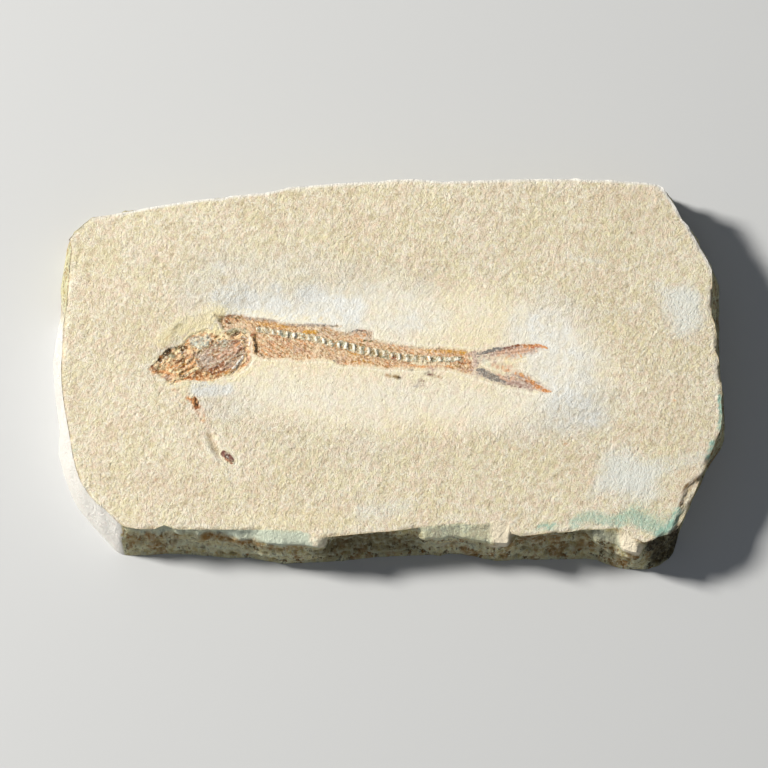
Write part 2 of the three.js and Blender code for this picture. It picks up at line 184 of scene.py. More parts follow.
baseRim = {
    "south": [
        (-38.2, -26.35), (-36.7, -26.5), (-34.7, -26.5), (-32.3, -26.3), (-28.3, -26.4), (-23.4, -26.8),
        (-20.1, -26.85), (-17.8, -27.3), (-14.95, -27.7), (-10, -27.5), (-5.1, -27.1), (0.6, -26.6),
        (5.9, -26.4), (7.3, -26.6), (8.5, -26.3), (10.4, -26.3), (13.5, -27.0), (15.2, -27.25),
        (20, -27.1), (28.1, -27.0), (29.85, -27.2), (31.1, -27.7), (32.6, -28.15), (34, -28.5),
        (35.8, -28.55), (37.2, -28.5), (38.7, -28.0), (40.3, -26.9),
    ],
    "east": [
        (40.3, -26.9), (40.9, -26.1), (41.8, -23.15), (42.8, -20.7), (43.6, -18.7), (44.6, -16.75),
        (46.1, -13.8), (47.1, -12.3), (48.1, -10.8), (48.6, -9.4), (48.8, -7.4), (48.7, -3.7),
        (48.3, 0), (48.2, 3.8), (48.3, 8.4), (48.4, 13.6), (48.05, 14.8), (47, 17.2), (44.5, 21.8),
        (42.4, 25.3), (40.5, 27.9),
    ],
    "north": [
        (-44.3, 23.2), (-33, 25), (-24.5, 26), (-16.5, 27.1), (-10, 27.8), (-0.5, 28.5), (7.5, 28.3),
        (16, 28.55), (25, 28.5), (34, 28.3), (40.5, 27.9),
    ],
    "west": [
        (-38.2, -26.35), (-39.2, -25.9), (-40.1, -24.9), (-42.6, -22.2), (-44.8, -19.5), (-45.7, -17.9),
        (-47.0, -14.5), (-47.8, -11.6), (-47.7, -8.1), (-48.4, -3.2), (-48.85, 1.3), (-48.9, 2.4),
        (-48.7, 3.7), (-48.3, 7.6), (-47.9, 9.7), (-48, 13.4), (-47.5, 17.3), (-47.3, 19.2),
        (-46.8, 21), (-45.9, 22), (-44.3, 23.2),
    ],
}

# Outlines of the fish's pieces as they show from above, in the order in which they lie on each other
outlines = {
    "trunk": [
        (-23.9, 4.6), (-22.5, 4.7), (-20.5, 4.4), (-19.8, 3.9), (-19.5, 2.6), (-19.4, 1.1), (-18.6, 0.7),
        (-17, 0.4), (-15.8, 0.45), (-14.4, 0.55), (-13.2, 0.1), (-11.5, 0.2), (-10.1, 0.35), (-8, 0.1),
        (-7.4, -0.45), (-6.4, -0.6), (-4.5, -0.55), (-2.4, -0.75), (-0.25, -1.05), (1.5, -0.95),
        (3.1, -1.15), (5.4, -1.05), (7.7, -1.0), (9.2, -1.2), (10.5, -1.65), (12.2, -2.0), (12.7, -1),
        (12.4, 0), (12.8, 0.7), (12.5, 1.4), (10.8, 1.65), (9.2, 1.8), (7.4, 2.0), (6.15, 1.95),
        (3.85, 2.1), (1.2, 2.5),
        (-0.25, 2.8), (-1.7, 3.0), (-3.4, 3.35), (-4.6, 3.8), (-5.9, 4.0), (-6.9, 4.15), (-7.7, 4.7),
        (-8.4, 5.05), (-6.9, 5.15), (-9.4, 5.42), (-10.8, 5.45), (-14.4, 5.45), (-15.8, 5.7), (-17.2, 6.0),
        (-18.6, 6.25), (-20, 6.45), (-21.9, 6.95), (-23.6, 6.75), (-25.1, 7.0), (-24.7, 6.1), (-24.2, 5.4),
    ],
    "dorsal_fin": [
        (-5.95, 4.05), (-5.2, 3.85), (-3.8, 3.5), (-2.45, 3.2), (-2.4, 4.3), (-2.9, 4.65), (-3.8, 4.75),
        (-4.6, 4.75), (-5.2, 4.6),
    ],
    "tail_fin": [
        (12.0, 1.4), (12.5, 1.3), (13.2, 1.45), (14.2, 1.7), (15.1, 1.95), (16.3, 2.15), (17.5, 2.3),
        (19.1, 2.5), (20.5, 2.55), (21.5, 2.5), (22.15, 2.2), (22.85, 1.9), (21.5, 1.8), (21.1, 1.1),
        (19.2, 0.75), (18.2, 0.4), (16.9, 0.6), (15.2, 0.5), (14, 0.3), (12.9, -0.2), (12.9, -0.9),
        (14.5, -1.55), (16.2, -1.95), (18.2, -1.45), (18.9, -1.6), (20, -2.05), (21.2, -3.0),
        (22.3, -3.9), (23.15, -4.3), (22.6, -4.6), (21.85, -4.6), (20.3, -4.25), (18.5, -3.95),
        (16.9, -3.65), (15.4, -3.2), (13.85, -2.65), (12.3, -2.2), (11.7, -2.0), (12.2, -1.2),
        (11.8, -0.4), (12.2, 0.4), (11.8, 0.9),
    ],
    "skull": [
        (-34.4, -1.2), (-33.9, -1.75), (-33.1, -2.1), (-32.2, -2.5), (-31.4, -3.25), (-30.7, -3.4),
        (-29.6, -2.95), (-28.3, -2.85), (-27, -2.9), (-25.75, -2.95), (-24.85, -2.8), (-23.7, -2.2),
        (-22.5, -2.05), (-21.25, -1.3), (-20.5, -0.8), (-20.0, 0), (-19.85, 1.2), (-19.85, 2.6),
        (-20, 3.6), (-20.4, 4.3), (-21.5, 4.75), (-22.8, 4.6), (-24, 4.3), (-25.1, 4.55),
        (-26.5, 4.75), (-28.3, 4.05), (-29.3, 2.9), (-30, 2.2), (-31.3, 1.8), (-32.3, 1.2),
        (-33.1, 0.3), (-33.7, -0.5),
    ],
    "gill_cover": [
        (-27.7, 0.1), (-27, -1.1), (-25.9, -1.7), (-24.6, -1.9), (-23.4, -1.7), (-22.3, -1.4),
        (-21.5, -0.7), (-21, 0), (-20.7, 0.7), (-20.7, 1.5), (-20.9, 2.2), (-21.4, 2.9), (-22.2, 3.15),
        (-23.5, 3.1), (-24.8, 2.75), (-25.9, 2.1), (-26.9, 1.4), (-27.7, 0.8),
    ],
    "shoulder_bone": [
        (-19.0, 1.0), (-18.88, 1.8), (-18.92, 2.6), (-19.1, 3.3), (-19.2, 4.1), (-19.85, 4.05),
        (-19.7, 3.3), (-19.5, 2.6), (-19.4, 1.8), (-19.5, 1.1),
    ],
    "bone_scrap_upper": [
        (-28.2, -5.6), (-28.05, -6.5), (-27.85, -6.95), (-27.4, -7.1), (-27.1, -6.5), (-27.15, -5.9),
        (-27.5, -5.3), (-27.9, -5.2),
    ],
    "bone_scrap_lower": [
        (-23.85, -13.7), (-23.4, -14.35), (-22.8, -14.8), (-22.3, -15), (-22.05, -14.7), (-22.4, -14.15),
        (-23, -13.6), (-23.55, -13.35),
    ],
}

# Middle line of the backbone, as (x, y, half height of the vertebrae)
spineLine = np.array([
    (-19, 4.75, 0.36), (-16.75, 4.4, 0.38), (-14.6, 3.95, 0.4), (-11.5, 3.55, 0.42), (-8.3, 2.7, 0.5),
    (-6.2, 2.3, 0.56), (-4, 1.65, 0.6), (-1.8, 1.3, 0.58), (0.45, 0.8, 0.52), (2.55, 0.5, 0.46),
    (5.9, 0.35, 0.4), (8.6, 0.28, 0.3), (10.3, 0.42, 0.25),
])
outlines["backbone"] = [
    *[(x, y - half) for x, y, half in spineLine],
    *[(x, y + half) for x, y, half in spineLine[::-1]],
]

# The stone's bed surface
stone = {
    "thickness": 9.5,
    "preparedMiddle": (0.5, 1), "preparedReach": (31, 11.5), "preparedDip": 0.18,
    "waveHeight": 0.12, "waveLength": 14,
    "grainHeight": 0.04, "grainLength": 1.7,
    "fineHeight": 0.056, "fineLength": 0.55,
    "lipHeight": 0.12, "backStep": 0.1, "laminaDepth": 0.35, "troughDepth": 0.2, "ridgeHeight": 0.14,
    "collar": 0.5,                        # how far a fish piece carries bare stone round itself
    "seatDrop": 0.3,                      # how far the stone sinks out of sight under a fish piece
}
headLip = [(-33.4, 0.9), (-32.5, 2.3), (-31, 3.9), (-29.85, 5.1), (-27.6, 6.4), (-25.2, 7.1)]
backEdge = [
    (-25, 7.05), (-21.9, 7.1), (-20, 6.6), (-17.2, 6.15), (-14.4, 5.6), (-9.4, 5.55), (-7.2, 5.4),
]
laminaEdge = [
    (39.2, -26.6), (39.9, -24.9), (40.5, -23.4), (40.8, -22.4), (41.4, -21.9), (41.2, -21.2),
    (41.8, -19.5), (42, -18.5), (42.9, -17.7), (44.6, -16.5), (54, -16), (50, -34),
]
troughLine = [(-25.6, -11), (-24.9, -12.6), (-24, -13.8)]
ridgeLine = [(-26.1, -12.2), (-25.3, -13.6), (-24.5, -14.6)]


def prepared(points):                     # 1 in the smoothed zone around the fish, 0 on the rough bed
    middle, reach = np.array(stone["preparedMiddle"]), np.array(stone["preparedReach"])
    away = np.hypot(*((points[:, :2] - middle) / reach).T)
    return 1 - smooth(away + 0.1 * noise(points, 6, 5), 0.75, 1.15)


def bedHeight(points):                    # the stone's face without the grain, in mm
    ground = points * (1, 1, 0)
    at = ground[:, :2]
    rough = 1 - prepared(ground)
    height = stone["thickness"] - stone["preparedDip"] * (1 - rough)
    height += stone["waveHeight"] * noise(ground, stone["waveLength"], 1) * (0.35 + 0.65 * rough)
    outward = 1 - smooth(insideBy(outlines["skull"], at), -3.2, -0.2)
    height += stone["lipHeight"] * (1 - smooth(awayFrom(headLip, at), 0.3, 2.4)) * outward
    height += stone["backStep"] * (1 - smooth(awayFrom(backEdge, at), 0.2, 2.2))
    height -= stone["troughDepth"] * (1 - smooth(awayFrom(troughLine, at), 0.1, 0.8))
    height += stone["ridgeHeight"] * (1 - smooth(awayFrom(ridgeLine, at), 0.1, 0.7))
    return height


def grainHeight(points):
    ground = points * (1, 1, 0)
    rough = 1 - prepared(ground)
    grain = stone["grainHeight"] * noise(ground, stone["grainLength"], 2) * (0.3 + 0.7 * rough)
    turned = grainwise(ground, 48, 0.6)
    creased = 0.5 - np.abs(noise(turned, 1.2, 4)) + 0.7 * noise(turned, stone["fineLength"], 3)
    return grain + stone["fineHeight"] * creased * (0.35 + 0.65 * rough)


# Stains and small features on the top face, listed by pigment. Each stroke is its strength,
# half width in mm and rise in mm, then the x and y of each point of its route
headStrokes = {
    "ochre": [
        (0.5, 0.45, 0, -27, -1.3, -25.4, -1.9, -23.6, -1.7, -22.2, -1.2),
        (0.6, 0.3, 0, -30.1, -2.1, -29.4, -1.8), (0.8, 0.2, 0.02, -30.6, -1.4, -29.8, -1, -29.2, -0.5),
        (0.9, 0.2, 0.03, -26.6, -1.75, -25.6, -1.9, -24.8, -1.55, -24.2, -1.2),
    ],
    "rust": [
        (0.35, 0.3, 0, -26.2, -1.7, -24.6, -2.1), (0.6, 0.3, 0, -32.8, 0, -32.4, 0.5),
        (0.85, 0.35, 0, -31.1, -0.2, -30.4, -0.1, -29.2, -0.1),
        (0.95, 0.25, 0.03, -33.85, -0.9, -33.6, -1.35, -33.3, -1.65),
        (0.5, 0.2, 0, -30.3, -2.7, -29.6, -2.8),
        (1, 0.27, 0.03, -28.7, -2.5, -28.2, -2.3, -27.6, -2.05, -27.1, -1.7, -26.6, -1.45),
        (0.85, 0.2, 0.02, -25.9, -2.6, -25.1, -2.6, -24.6, -2.2, -24.1, -2.3),
        (0.9, 0.2, -0.02, -29.9, -1.2, -29.3, -0.8), (0.75, 0.17, -0.03, -25.25, 0.95, -25.1, 0.6),
        (0.4, 0.2, 0, -25.2, 1.3, -24.9, 1.3), (0.8, 0.16, 0.03, -22.7, 2.6, -22.3, 2.95, -21.9, 3),
        (1, 0.24, 0.05, -22.3, 0.9, -21.8, 1.25, -21.4, 1.7, -21.1, 1.95),
        (0.65, 0.14, 0, -22.7, 0.65, -21.9, 0.55),
        (0.6, 0.7, 0, -27.3, -2.1, -26, -2, -24.6, -1.6, -23.6, -1),
        (0.9, 0.32, 0, -25.5, -1.45, -25, -1.1, -24.5, -0.8, -23.9, -0.45),
        (0.75, 0.16, 0.03, -25, -1.75, -24.1, -1.45, -23.6, -1.1),
        (0.8, 0.1, -0.03, -23.75, 0.25, -23.6, -0.2), (0.6, 0.28, 0, -23.4, -0.3, -22.9, -0.1, -22.5, 0.1),
        (0.45, 0.15, 0, -20.7, -0.6, -20.1, -0.3, -19.7, 0.8), (0.9, 0.2, 0.02, -19.75, 3.75, -19.4, 3.95),
    ],
    "orange": [
        (0.4, 0.5, 0, -32.6, -1.6, -31.2, -1.9, -29.8, -1.9),
        (0.8, 0.22, 0.03, -33.3, -1.7, -32.3, -1.45, -31.8, -1.75, -31.2, -1.9),
        (0.75, 0.2, 0.05, -30.1, -1.9, -29.1, -1.15, -28.45, -0.75, -28, -0.2, -27.6, 0.3),
        (0.6, 0.14, 0, -29, -1.5, -28.3, -1, -27.6, -0.55),
        (0.7, 0.22, 0, -28.6, -2.2, -27.8, -1.8, -27, -1.35),
        (0.8, 0.25, 0, -27.1, -2.5, -26.3, -2.35, -25.6, -2.5), (0.6, 0.25, 0, -26.5, -2.8, -25.2, -2.8),
        (0.5, 0.25, 0, -28.7, 1.35, -28.5, 1), (0.7, 0.25, 0, -21.9, 2.4, -21.1, 2.7),
        (0.9, 0.22, 0.02, -24.8, -2.2, -23.8, -1.8, -23, -1.5),
    ],
    "dark": [
        (1, 0.3, -0.08, -32.8, 0.1, -32.3, 0.6, -31.7, 1.1, -31.2, 1.5),
        (1, 0.27, -0.06, -29.7, 1.6, -29.1, 1.85), (0.95, 0.2, -0.05, -32.2, 1.1, -31.4, 1.8, -30.6, 2.05),
        (0.9, 0.2, -0.05, -29.9, 2.05, -29, 2), (0.85, 0.26, -0.04, -30.4, 0.2, -30, 0),
        (0.85, 0.3, -0.04, -29.45, 0.15, -29.3, -0.25),
        (0.8, 0.15, -0.05, -30.5, -2.85, -30.8, -3.3, -31.2, -3.45),
        (0.45, 0.14, 0, -29.7, -2.75, -29.3, -2.85), (0.4, 0.12, -0.04, -27.4, -1.9, -26.9, -1.75),
        (0.45, 0.14, -0.04, -24.3, -2.4, -23.6, -2),
        (1, 0.25, -0.06, -25.45, 2.35, -25.3, 2.6, -25.15, 2.9),
        (1.2, 0.25, -0.08, -22.5, 3.75, -22, 4, -21.5, 4.2), (0.6, 0.13, -0.03, -20.8, 4.1, -20.5, 4.1),
        (0.4, 0.16, -0.03, -28, 1.45, -27.75, 1.2), (0.5, 0.1, -0.03, -22.7, 2.7, -22.4, 2.9),
        (0.6, 0.09, -0.04, -22.4, 0.8, -22, 0.95), (0.55, 0.1, -0.04, -21.6, 0.65, -21.2, 0.85, -20.7, 1.1),
        (0.7, 0.14, -0.04, -26.9, -1.95, -26, -1.5, -25.4, -1.75),
        (0.5, 0.1, -0.04, -25.3, -1.2, -24.7, -0.95, -24.2, -1.2),
        (0.35, 0.12, -0.03, -23.4, -1.3, -23, -1),
        (1.2, 0.2, -0.02, -19.35, 3.2, -19.2, 2.75, -19.08, 2.2, -19.1, 1.4),
    ],
    "olive": [
        (0.95, 0.28, -0.05, -31.3, 1.2, -30.8, 1.2, -30.4, 1.75), (0.7, 0.2, -0.03, -30.6, 2, -29.9, 2.1),
        (0.95, 0.25, -0.05, -33.2, -1.5, -32.95, -1.1, -32.8, -0.5),
        (0.7, 0.12, -0.05, -30, -1.65, -29.3, -1.65, -28.7, -1.3, -27.9, -0.95),
        (0.8, 0.13, -0.04, -29.9, -2.05, -29.5, -2.4, -29.3, -2.1),
        (0.5, 0.14, 0, -23.7, -2.1, -22.5, -1.95),
        (0.75, 0.16, -0.04, -27.2, 1.25, -26.65, 1.6, -26.25, 1.95, -25.8, 2.2),
        (0.6, 0.3, -0.02, -25.9, 2.2, -25.2, 2.5), (0.75, 0.2, -0.04, -24.95, 3.3, -24.5, 3.7, -24.2, 4.2),
        (0.7, 0.15, -0.03, -24.4, 3.2, -23.9, 3.15), (0.7, 0.35, -0.02, -23.1, 4, -22.2, 4.5, -21.2, 4.4),
        (0.4, 0.2, 0, -20.4, 4.6, -20, 4), (0.7, 0.2, -0.03, -27.2, -1.3, -26.6, -1.15),
    ],
    "tan": [
        (0.55, 0.3, 0.04, -32.1, 2.2, -31.9, 1.4, -31.3, 1.9), (0.5, 0.22, 0, -27.1, 3.8, -26.9, 3.85),
        (0.7, 0.35, 0, -25, 0.7, -24.5, 1.4),
        (0.7, 0.55, 0, -26.3, -2, -25.2, -1.5, -24.5, -0.9, -23.8, -0.6),
        (0.7, 0.22, -0.02, -18.85, 2.4, -18.8, 1.6),
    ],
    "greyGreen": [
        (0.8, 0.5, -0.06, -31.9, 0.6, -31.1, 0.7, -30.3, 0.7),
        (0.35, 0.5, 0, -27.2, 3.4, -26.2, 3.6, -25.4, 3.7), (0.8, 0.5, 0, -23, 4.2, -22, 4.5, -20.8, 4.4),
        (0.55, 0.4, 0, -25.4, 1.8, -24.4, 2.4, -23.4, 2.4),
    ],
    "pale": [
        (0.95, 0.14, 0.05, -31.95, 0.55, -31.7, 0.4), (0.4, 0.3, 0.03, -28.9, -0.1, -28.4, 0.1),
        (0.85, 0.2, 0.05, -22.3, -1.1, -21.7, -0.4, -21.2, 0.3, -20.95, 0.7),
        (0.8, 0.13, 0.03, -20, 3.3, -20.05, 2.4, -19.9, 1.5),
    ],
    "pink": [
        (0.6, 0.6, 0, -32.3, -2, -31.2, -2.4, -30.4, -1), (0.4, 0.4, 0, -28.6, 3.2, -27.4, 4, -26.2, 4.2),
        (0.7, 0.5, 0, -29, 1.2, -28.4, 0.4), (0.8, 0.7, 0, -24.2, 0.8, -23.2, 1.3, -22.2, 1.9),
        (0.8, 0.35, 0, -20, 3, -20, 1.4, -20, 0.4, -20.4, -0.4),
    ],
    "bluePale": [
        (0.75, 0.85, 0, -27.8, 2.9, -26.7, 3.1, -25.6, 3.4),
        (0.85, 0.7, 0, -27.9, 2.7, -26.9, 2.6, -26.4, 3), (0.5, 0.5, 0, -27.2, 1.9, -26.1, 2.5),
        (0.5, 0.4, 0.02, -24.4, 2.9, -23.4, 2.8),
    ],
    "yellow": [
        (0.9, 0.3, 0, -29.2, 3.2, -28.2, 4, -26.6, 4.6, -25.2, 4.4),
        (0.7, 0.25, 0.02, -31.4, -1.5, -30.6, -1.75, -29.9, -1.45),
        (0.7, 0.2, 0.02, -28.6, -1.75, -27.8, -1.35, -27, -0.9),
    ],
    "slate": [
        (0.5, 0.2, -0.03, -26, 3.4, -25.8, 3.5), (0.3, 0.25, 0, -28.3, 2.4, -28, 3.3),
        (0.75, 0.16, -0.05, -22.4, -1.75, -21.9, -1.4, -21.5, -0.75, -21.2, -0.2),
        (0.6, 0.22, 0.03, -18.5, 1.05, -18.2, 0.75),
    ],
    "yellowPale": [
        (0.6, 0.35, 0.03, -23.8, 3.7, -23.2, 3.5),
    ],
    "mauve": [
        (0.6, 0.35, 0, -28.1, 1.3, -27.7, 0.9), (0.6, 0.25, 0, -26, 1.05, -25.6, 1.05),
        (0.5, 0.3, 0, -25.2, -0.2, -24.4, 0.2, -23.6, 0.6), (0.7, 0.45, 0, -23.5, -1, -22.8, -0.7),
        (0.6, 0.35, 0, -20.5, -0.1, -20.1, 0.8, -20.3, 1.3), (0.5, 0.3, 0, -20.5, 3.2, -20.5, 2),
    ],
    "deepOrange": [
        (0.9, 0.18, 0.02, -31.9, -1.2, -30.8, -0.9, -29.8, -0.5, -29, 0.1, -28.6, 0.5),
        (0.9, 0.16, 0.02, -29.2, -2.6, -28.2, -2.65, -27, -2.75, -25.9, -2.85),
        (0.8, 0.45, 0, -28.4, -2.3, -26.8, -2.2, -25.2, -1.9, -23.8, -1.3),
    ],
    "greyMauve": [
        (0.7, 1.1, 0, -26.6, 0.2, -25.9, 0.1), (0.55, 0.5, 0, -26.8, -0.9, -25.9, -1.2),
    ],
    "redOrange": [
        (0.95, 0.16, 0.03, -22, 1.1, -21.6, 1.5, -21.2, 2, -20.9, 1.9),
    ],
}
bodyStrokes = {
    "ochre": [
        (0.35, 0.5, 0, -5.6, 0.9, -4, 0.6, -2.4, 0.4), (0.35, 0.2, 0, -19.2, 3.6, -19.15, 2.2, -19.1, 1.3),
        (0.3, 0.3, 0, -21, 5.9, -19.2, 5.6, -16.4, 5.1, -14.2, 4.6, -12.4, 4.8),
        (2.2, 0.24, 0.04, -12.1, 4.3, -11.3, 4.42, -10.5, 4.35),
        (1, 0.3, 0, -12.2, 4.35, -11.3, 4.4, -10.4, 4.4),
        (0.45, 0.4, 0, -18.9, 5.7, -17.4, 5.6, -15.4, 5, -13.5, 4.9),
        (0.6, 0.12, 0, -6.3, 1.6, -5.1, 1.1, -4.2, 0.95),
        (0.75, 0.12, 0, -5.7, -0.25, -4.9, -0.05, -4.4, 0),
        (0.5, 0.2, 0, -3.6, 0.05, -3, -0.1, -2.4, -0.25), (0.5, 0.12, 0, -4.9, 2.35, -4.1, 2.3),
        (0.8, 0.32, 0, 5.4, 1.5, 6.3, 1.5, 6.8, 1.45, 7.5, 1.6),
        (0.95, 0.34, 0.02, 7.9, 1.45, 8.6, 1.5, 9.4, 1.4, 10, 1.4, 10.7, 1.3),
    ],
    "yellowPale": [
        (0.5, 0.35, 0, 3, -0.45, 5, -0.5), (0.7, 0.4, 0.02, -23.6, 5.3, -21.2, 5.3),
        (1.1, 0.36, 0, 3.6, -0.3, 5.4, -0.3, 7, -0.35, 8.4, -0.45),
        (0.8, 0.25, 0.03, 11.2, 0.45, 11.7, 0.35),
    ],
    "olive": [
        (0.9, 0.35, 0, -24.6, 6.6, -24.2, 6.4, -23.9, 6.6), (0.7, 0.3, 0, -24.3, 6, -23.9, 5.3, -23.5, 4.8),
        (0.8, 0.2, -0.02, -24.2, 6.7, -23.2, 6.5, -22.4, 6.6, -21.4, 6.3),
        (0.45, 0.14, 0, -8.6, 5.15, -7.9, 5.15, -7.3, 5.2), (0.45, 0.2, 0, -13.8, 4.95, -12.6, 4.7),
        (0.5, 0.14, -0.02, -10.2, 4.3, -9.5, 4.35, -9.1, 4.55), (0.5, 0.14, 0, -17.3, 0.4, -16.9, 0.5),
        (0.6, 0.12, -0.01, -7.1, -0.5, -6.1, -0.55), (0.85, 0.18, -0.02, -3.5, 3.1, -3, 3.08, -2.5, 3),
        (0.65, 0.13, -0.02, -0.6, 1.75, 0.1, 1.85, 0.6, 1.6), (0.5, 0.12, 0, 6.8, 1.95, 7.6, 1.85),
        (0.8, 0.16, -0.03, 9.85, -0.5, 10.15, -0.25), (0.6, 0.12, -0.02, 9.4, 0.65, 10.4, 0.5, 10.7, 0.6),
    ],
    "dark": [
        (0.6, 0.2, 0, -24.6, 6.5, -23.9, 6.3), (0.6, 0.16, -0.02, -22, 6.3, -21.6, 5.9),
        (0.8, 0.2, -0.03, -22.95, 5.65, -22.6, 5.7), (0.75, 0.11, -0.03, -19, 5.05, -18.4, 5.2),
        (0.8, 0.12, 0, -4.1, 4.55, -3.8, 4.52),
    ],
    "rust": [
        (0.75, 0.13, -0.03, -25, 6.75, -23.7, 6.55, -22.5, 6.75), (1, 0.33, 0, -23.4, 5.8, -23.1, 6.3),
        (0.5, 0.14, -0.02, -21.4, 6.4, -20.2, 6.35), (0.35, 0.14, 0, -18.9, 6.1, -17.2, 5.9, -15.5, 5.55),
        (0.5, 0.13, 0, -19.3, 4.9, -19.1, 5), (0.5, 0.16, 0, -15.1, 4.6, -14.6, 4.8),
        (0.6, 0.16, 0, -8.4, 3.95, -7.9, 3.9, -7.4, 3.95), (0.4, 0.3, 0, -8.8, 3.8, -6.8, 3.5),
        (0.6, 0.1, -0.02, -9.3, 2.15, -8, 1.95, -7, 1.7, -6.6, 1.8),
        (0.5, 0.16, 0, -12.1, 2.35, -11.8, 2.4), (0.4, 0.3, 0, -7.4, -0.15, -7, 0.15, -6.3, -0.1),
        (0.5, 0.15, 0, -4.2, 4.5, -3.2, 4.5), (0.5, 0.12, 0, -2.9, 2, -2.3, 1.95),
        (0.8, 0.14, -0.03, 0.75, 0.9, 0.85, 0.45), (0.4, 0.15, 0, 5.2, 1, 6.4, 1.1),
        (0.5, 0.14, 0, 1.8, -0.15, 2.5, -0.28, 3.3, -0.45),
        (0.95, 0.2, 0, 10.2, -0.2, 10.8, -0.25, 11.7, -0.2),
    ],
    "orange": [
        (0.6, 0.3, 0, -23.1, 6.35, -21.8, 6.05, -21.5, 6.4),
        (0.5, 0.35, 0, -18.6, 5.6, -17.6, 5.5, -16.2, 5.4),
        (0.35, 0.4, 0, -15.2, 4.9, -13, 4.7, -12.2, 4.9), (0.5, 0.2, 0, -12.3, 4.3, -11.4, 4.2, -10.4, 4.3),
        (0.6, 0.25, 0, -17.8, 1.9, -16.7, 1.3), (0.45, 0.25, 0, -2, -0.3, -1, -0.5, 0, -0.7),
        (0.55, 0.35, 0, -5.2, 3.95, -4.5, 3.9, -3.4, 3.9), (0.6, 0.3, 0, 6.2, 1.3, 7.9, 1.35, 9, 1.35),
        (0.6, 0.24, 0, 3, -0.6, 4.6, -0.8, 5.4, -0.75), (0.75, 0.2, 0, 8.2, -0.7, 8.8, -0.72, 9.4, -0.95),
        (0.35, 0.15, 0, 10.2, -1.55, 11.2, -1.85), (0.5, 0.2, 0, 10.9, 0.15, 11.5, 0.15),
    ],
    "greyGreen": [
        (0.5, 0.3, 0, -24.3, 5, -23.9, 4.7), (0.5, 0.3, 0, -22.6, 4.9, -20.6, 4.7),
    ],
    "pink": [
        (0.5, 0.4, 0, -23.4, 5, -22, 5.3, -20.6, 4.9), (0.5, 0.4, 0, 5.6, -0.6, 7.6, -0.6),
    ],
    "tan": [
        (0.5, 0.4, 0, -22.2, 6.4, -20.8, 6.2), (0.5, 0.3, 0, -10.2, 4.9, -8.8, 4.6, -7.2, 4.3, -5.5, 3.7),
        (0.3, 0.14, 0, -2.55, 4.2, -2.5, 3.6), (0.5, 0.3, 0, -1.5, 2.2, 1.5, 1.75, 3, 1.4),
    ],
    "greyMauve": [
        (0.6, 0.4, -0.01, -20.4, 6.2, -19.4, 6.1, -18.4, 6, -17.2, 5.8, -15.9, 5.6),
        (0.6, 0.32, -0.01, -15, 5.35, -14, 5.25, -12.7, 5.25, -11.5, 5.3, -10.2, 5.3),
    ],
    "slate": [
        (0.6, 0.22, -0.01, -10.3, 5.4, -9, 5.28, -8, 5.15, -7.5, 5.15),
        (0.7, 0.25, -0.01, -7.8, 0.1, -7.3, -0.25),
        (0.9, 0.15, 0.02, -5.5, 4.15, -5.15, 4.45, -4.7, 4.62, -4.2, 4.6),
        (0.4, 0.18, 0, -2.3, 3, -0.8, 2.75, 0.3, 2.6), (0.45, 0.14, 0, 1, 2.45, 2.4, 2.2, 4.4, 1.95),
    ],
    "redOrange": [
        (0.25, 0.7, 0, -16.6, 2.6, -14.6, 2.5, -13, 1.9), (0.9, 0.25, -0.03, 0.55, 0.35, 0.95, 0.3),
        (0.7, 0.14, 0, 10.7, -0.1, 11.6, -0.1),
    ],
    "mauve": [
        (0.5, 0.5, 0, -13.6, 1.4, -12.2, 1.6), (0.6, 0.4, 0, -7.5, 0.2, -6.5, 0.4),
        (0.55, 0.4, 0, 10.2, -1.2, 11.4, -1.35), (0.7, 0.3, 0, 11.3, 0.95, 11.9, 1.1),
    ],
    "pale": [
        (0.9, 0.16, 0.04, 6.95, 1.15, 7.1, 1.15),
    ],
}
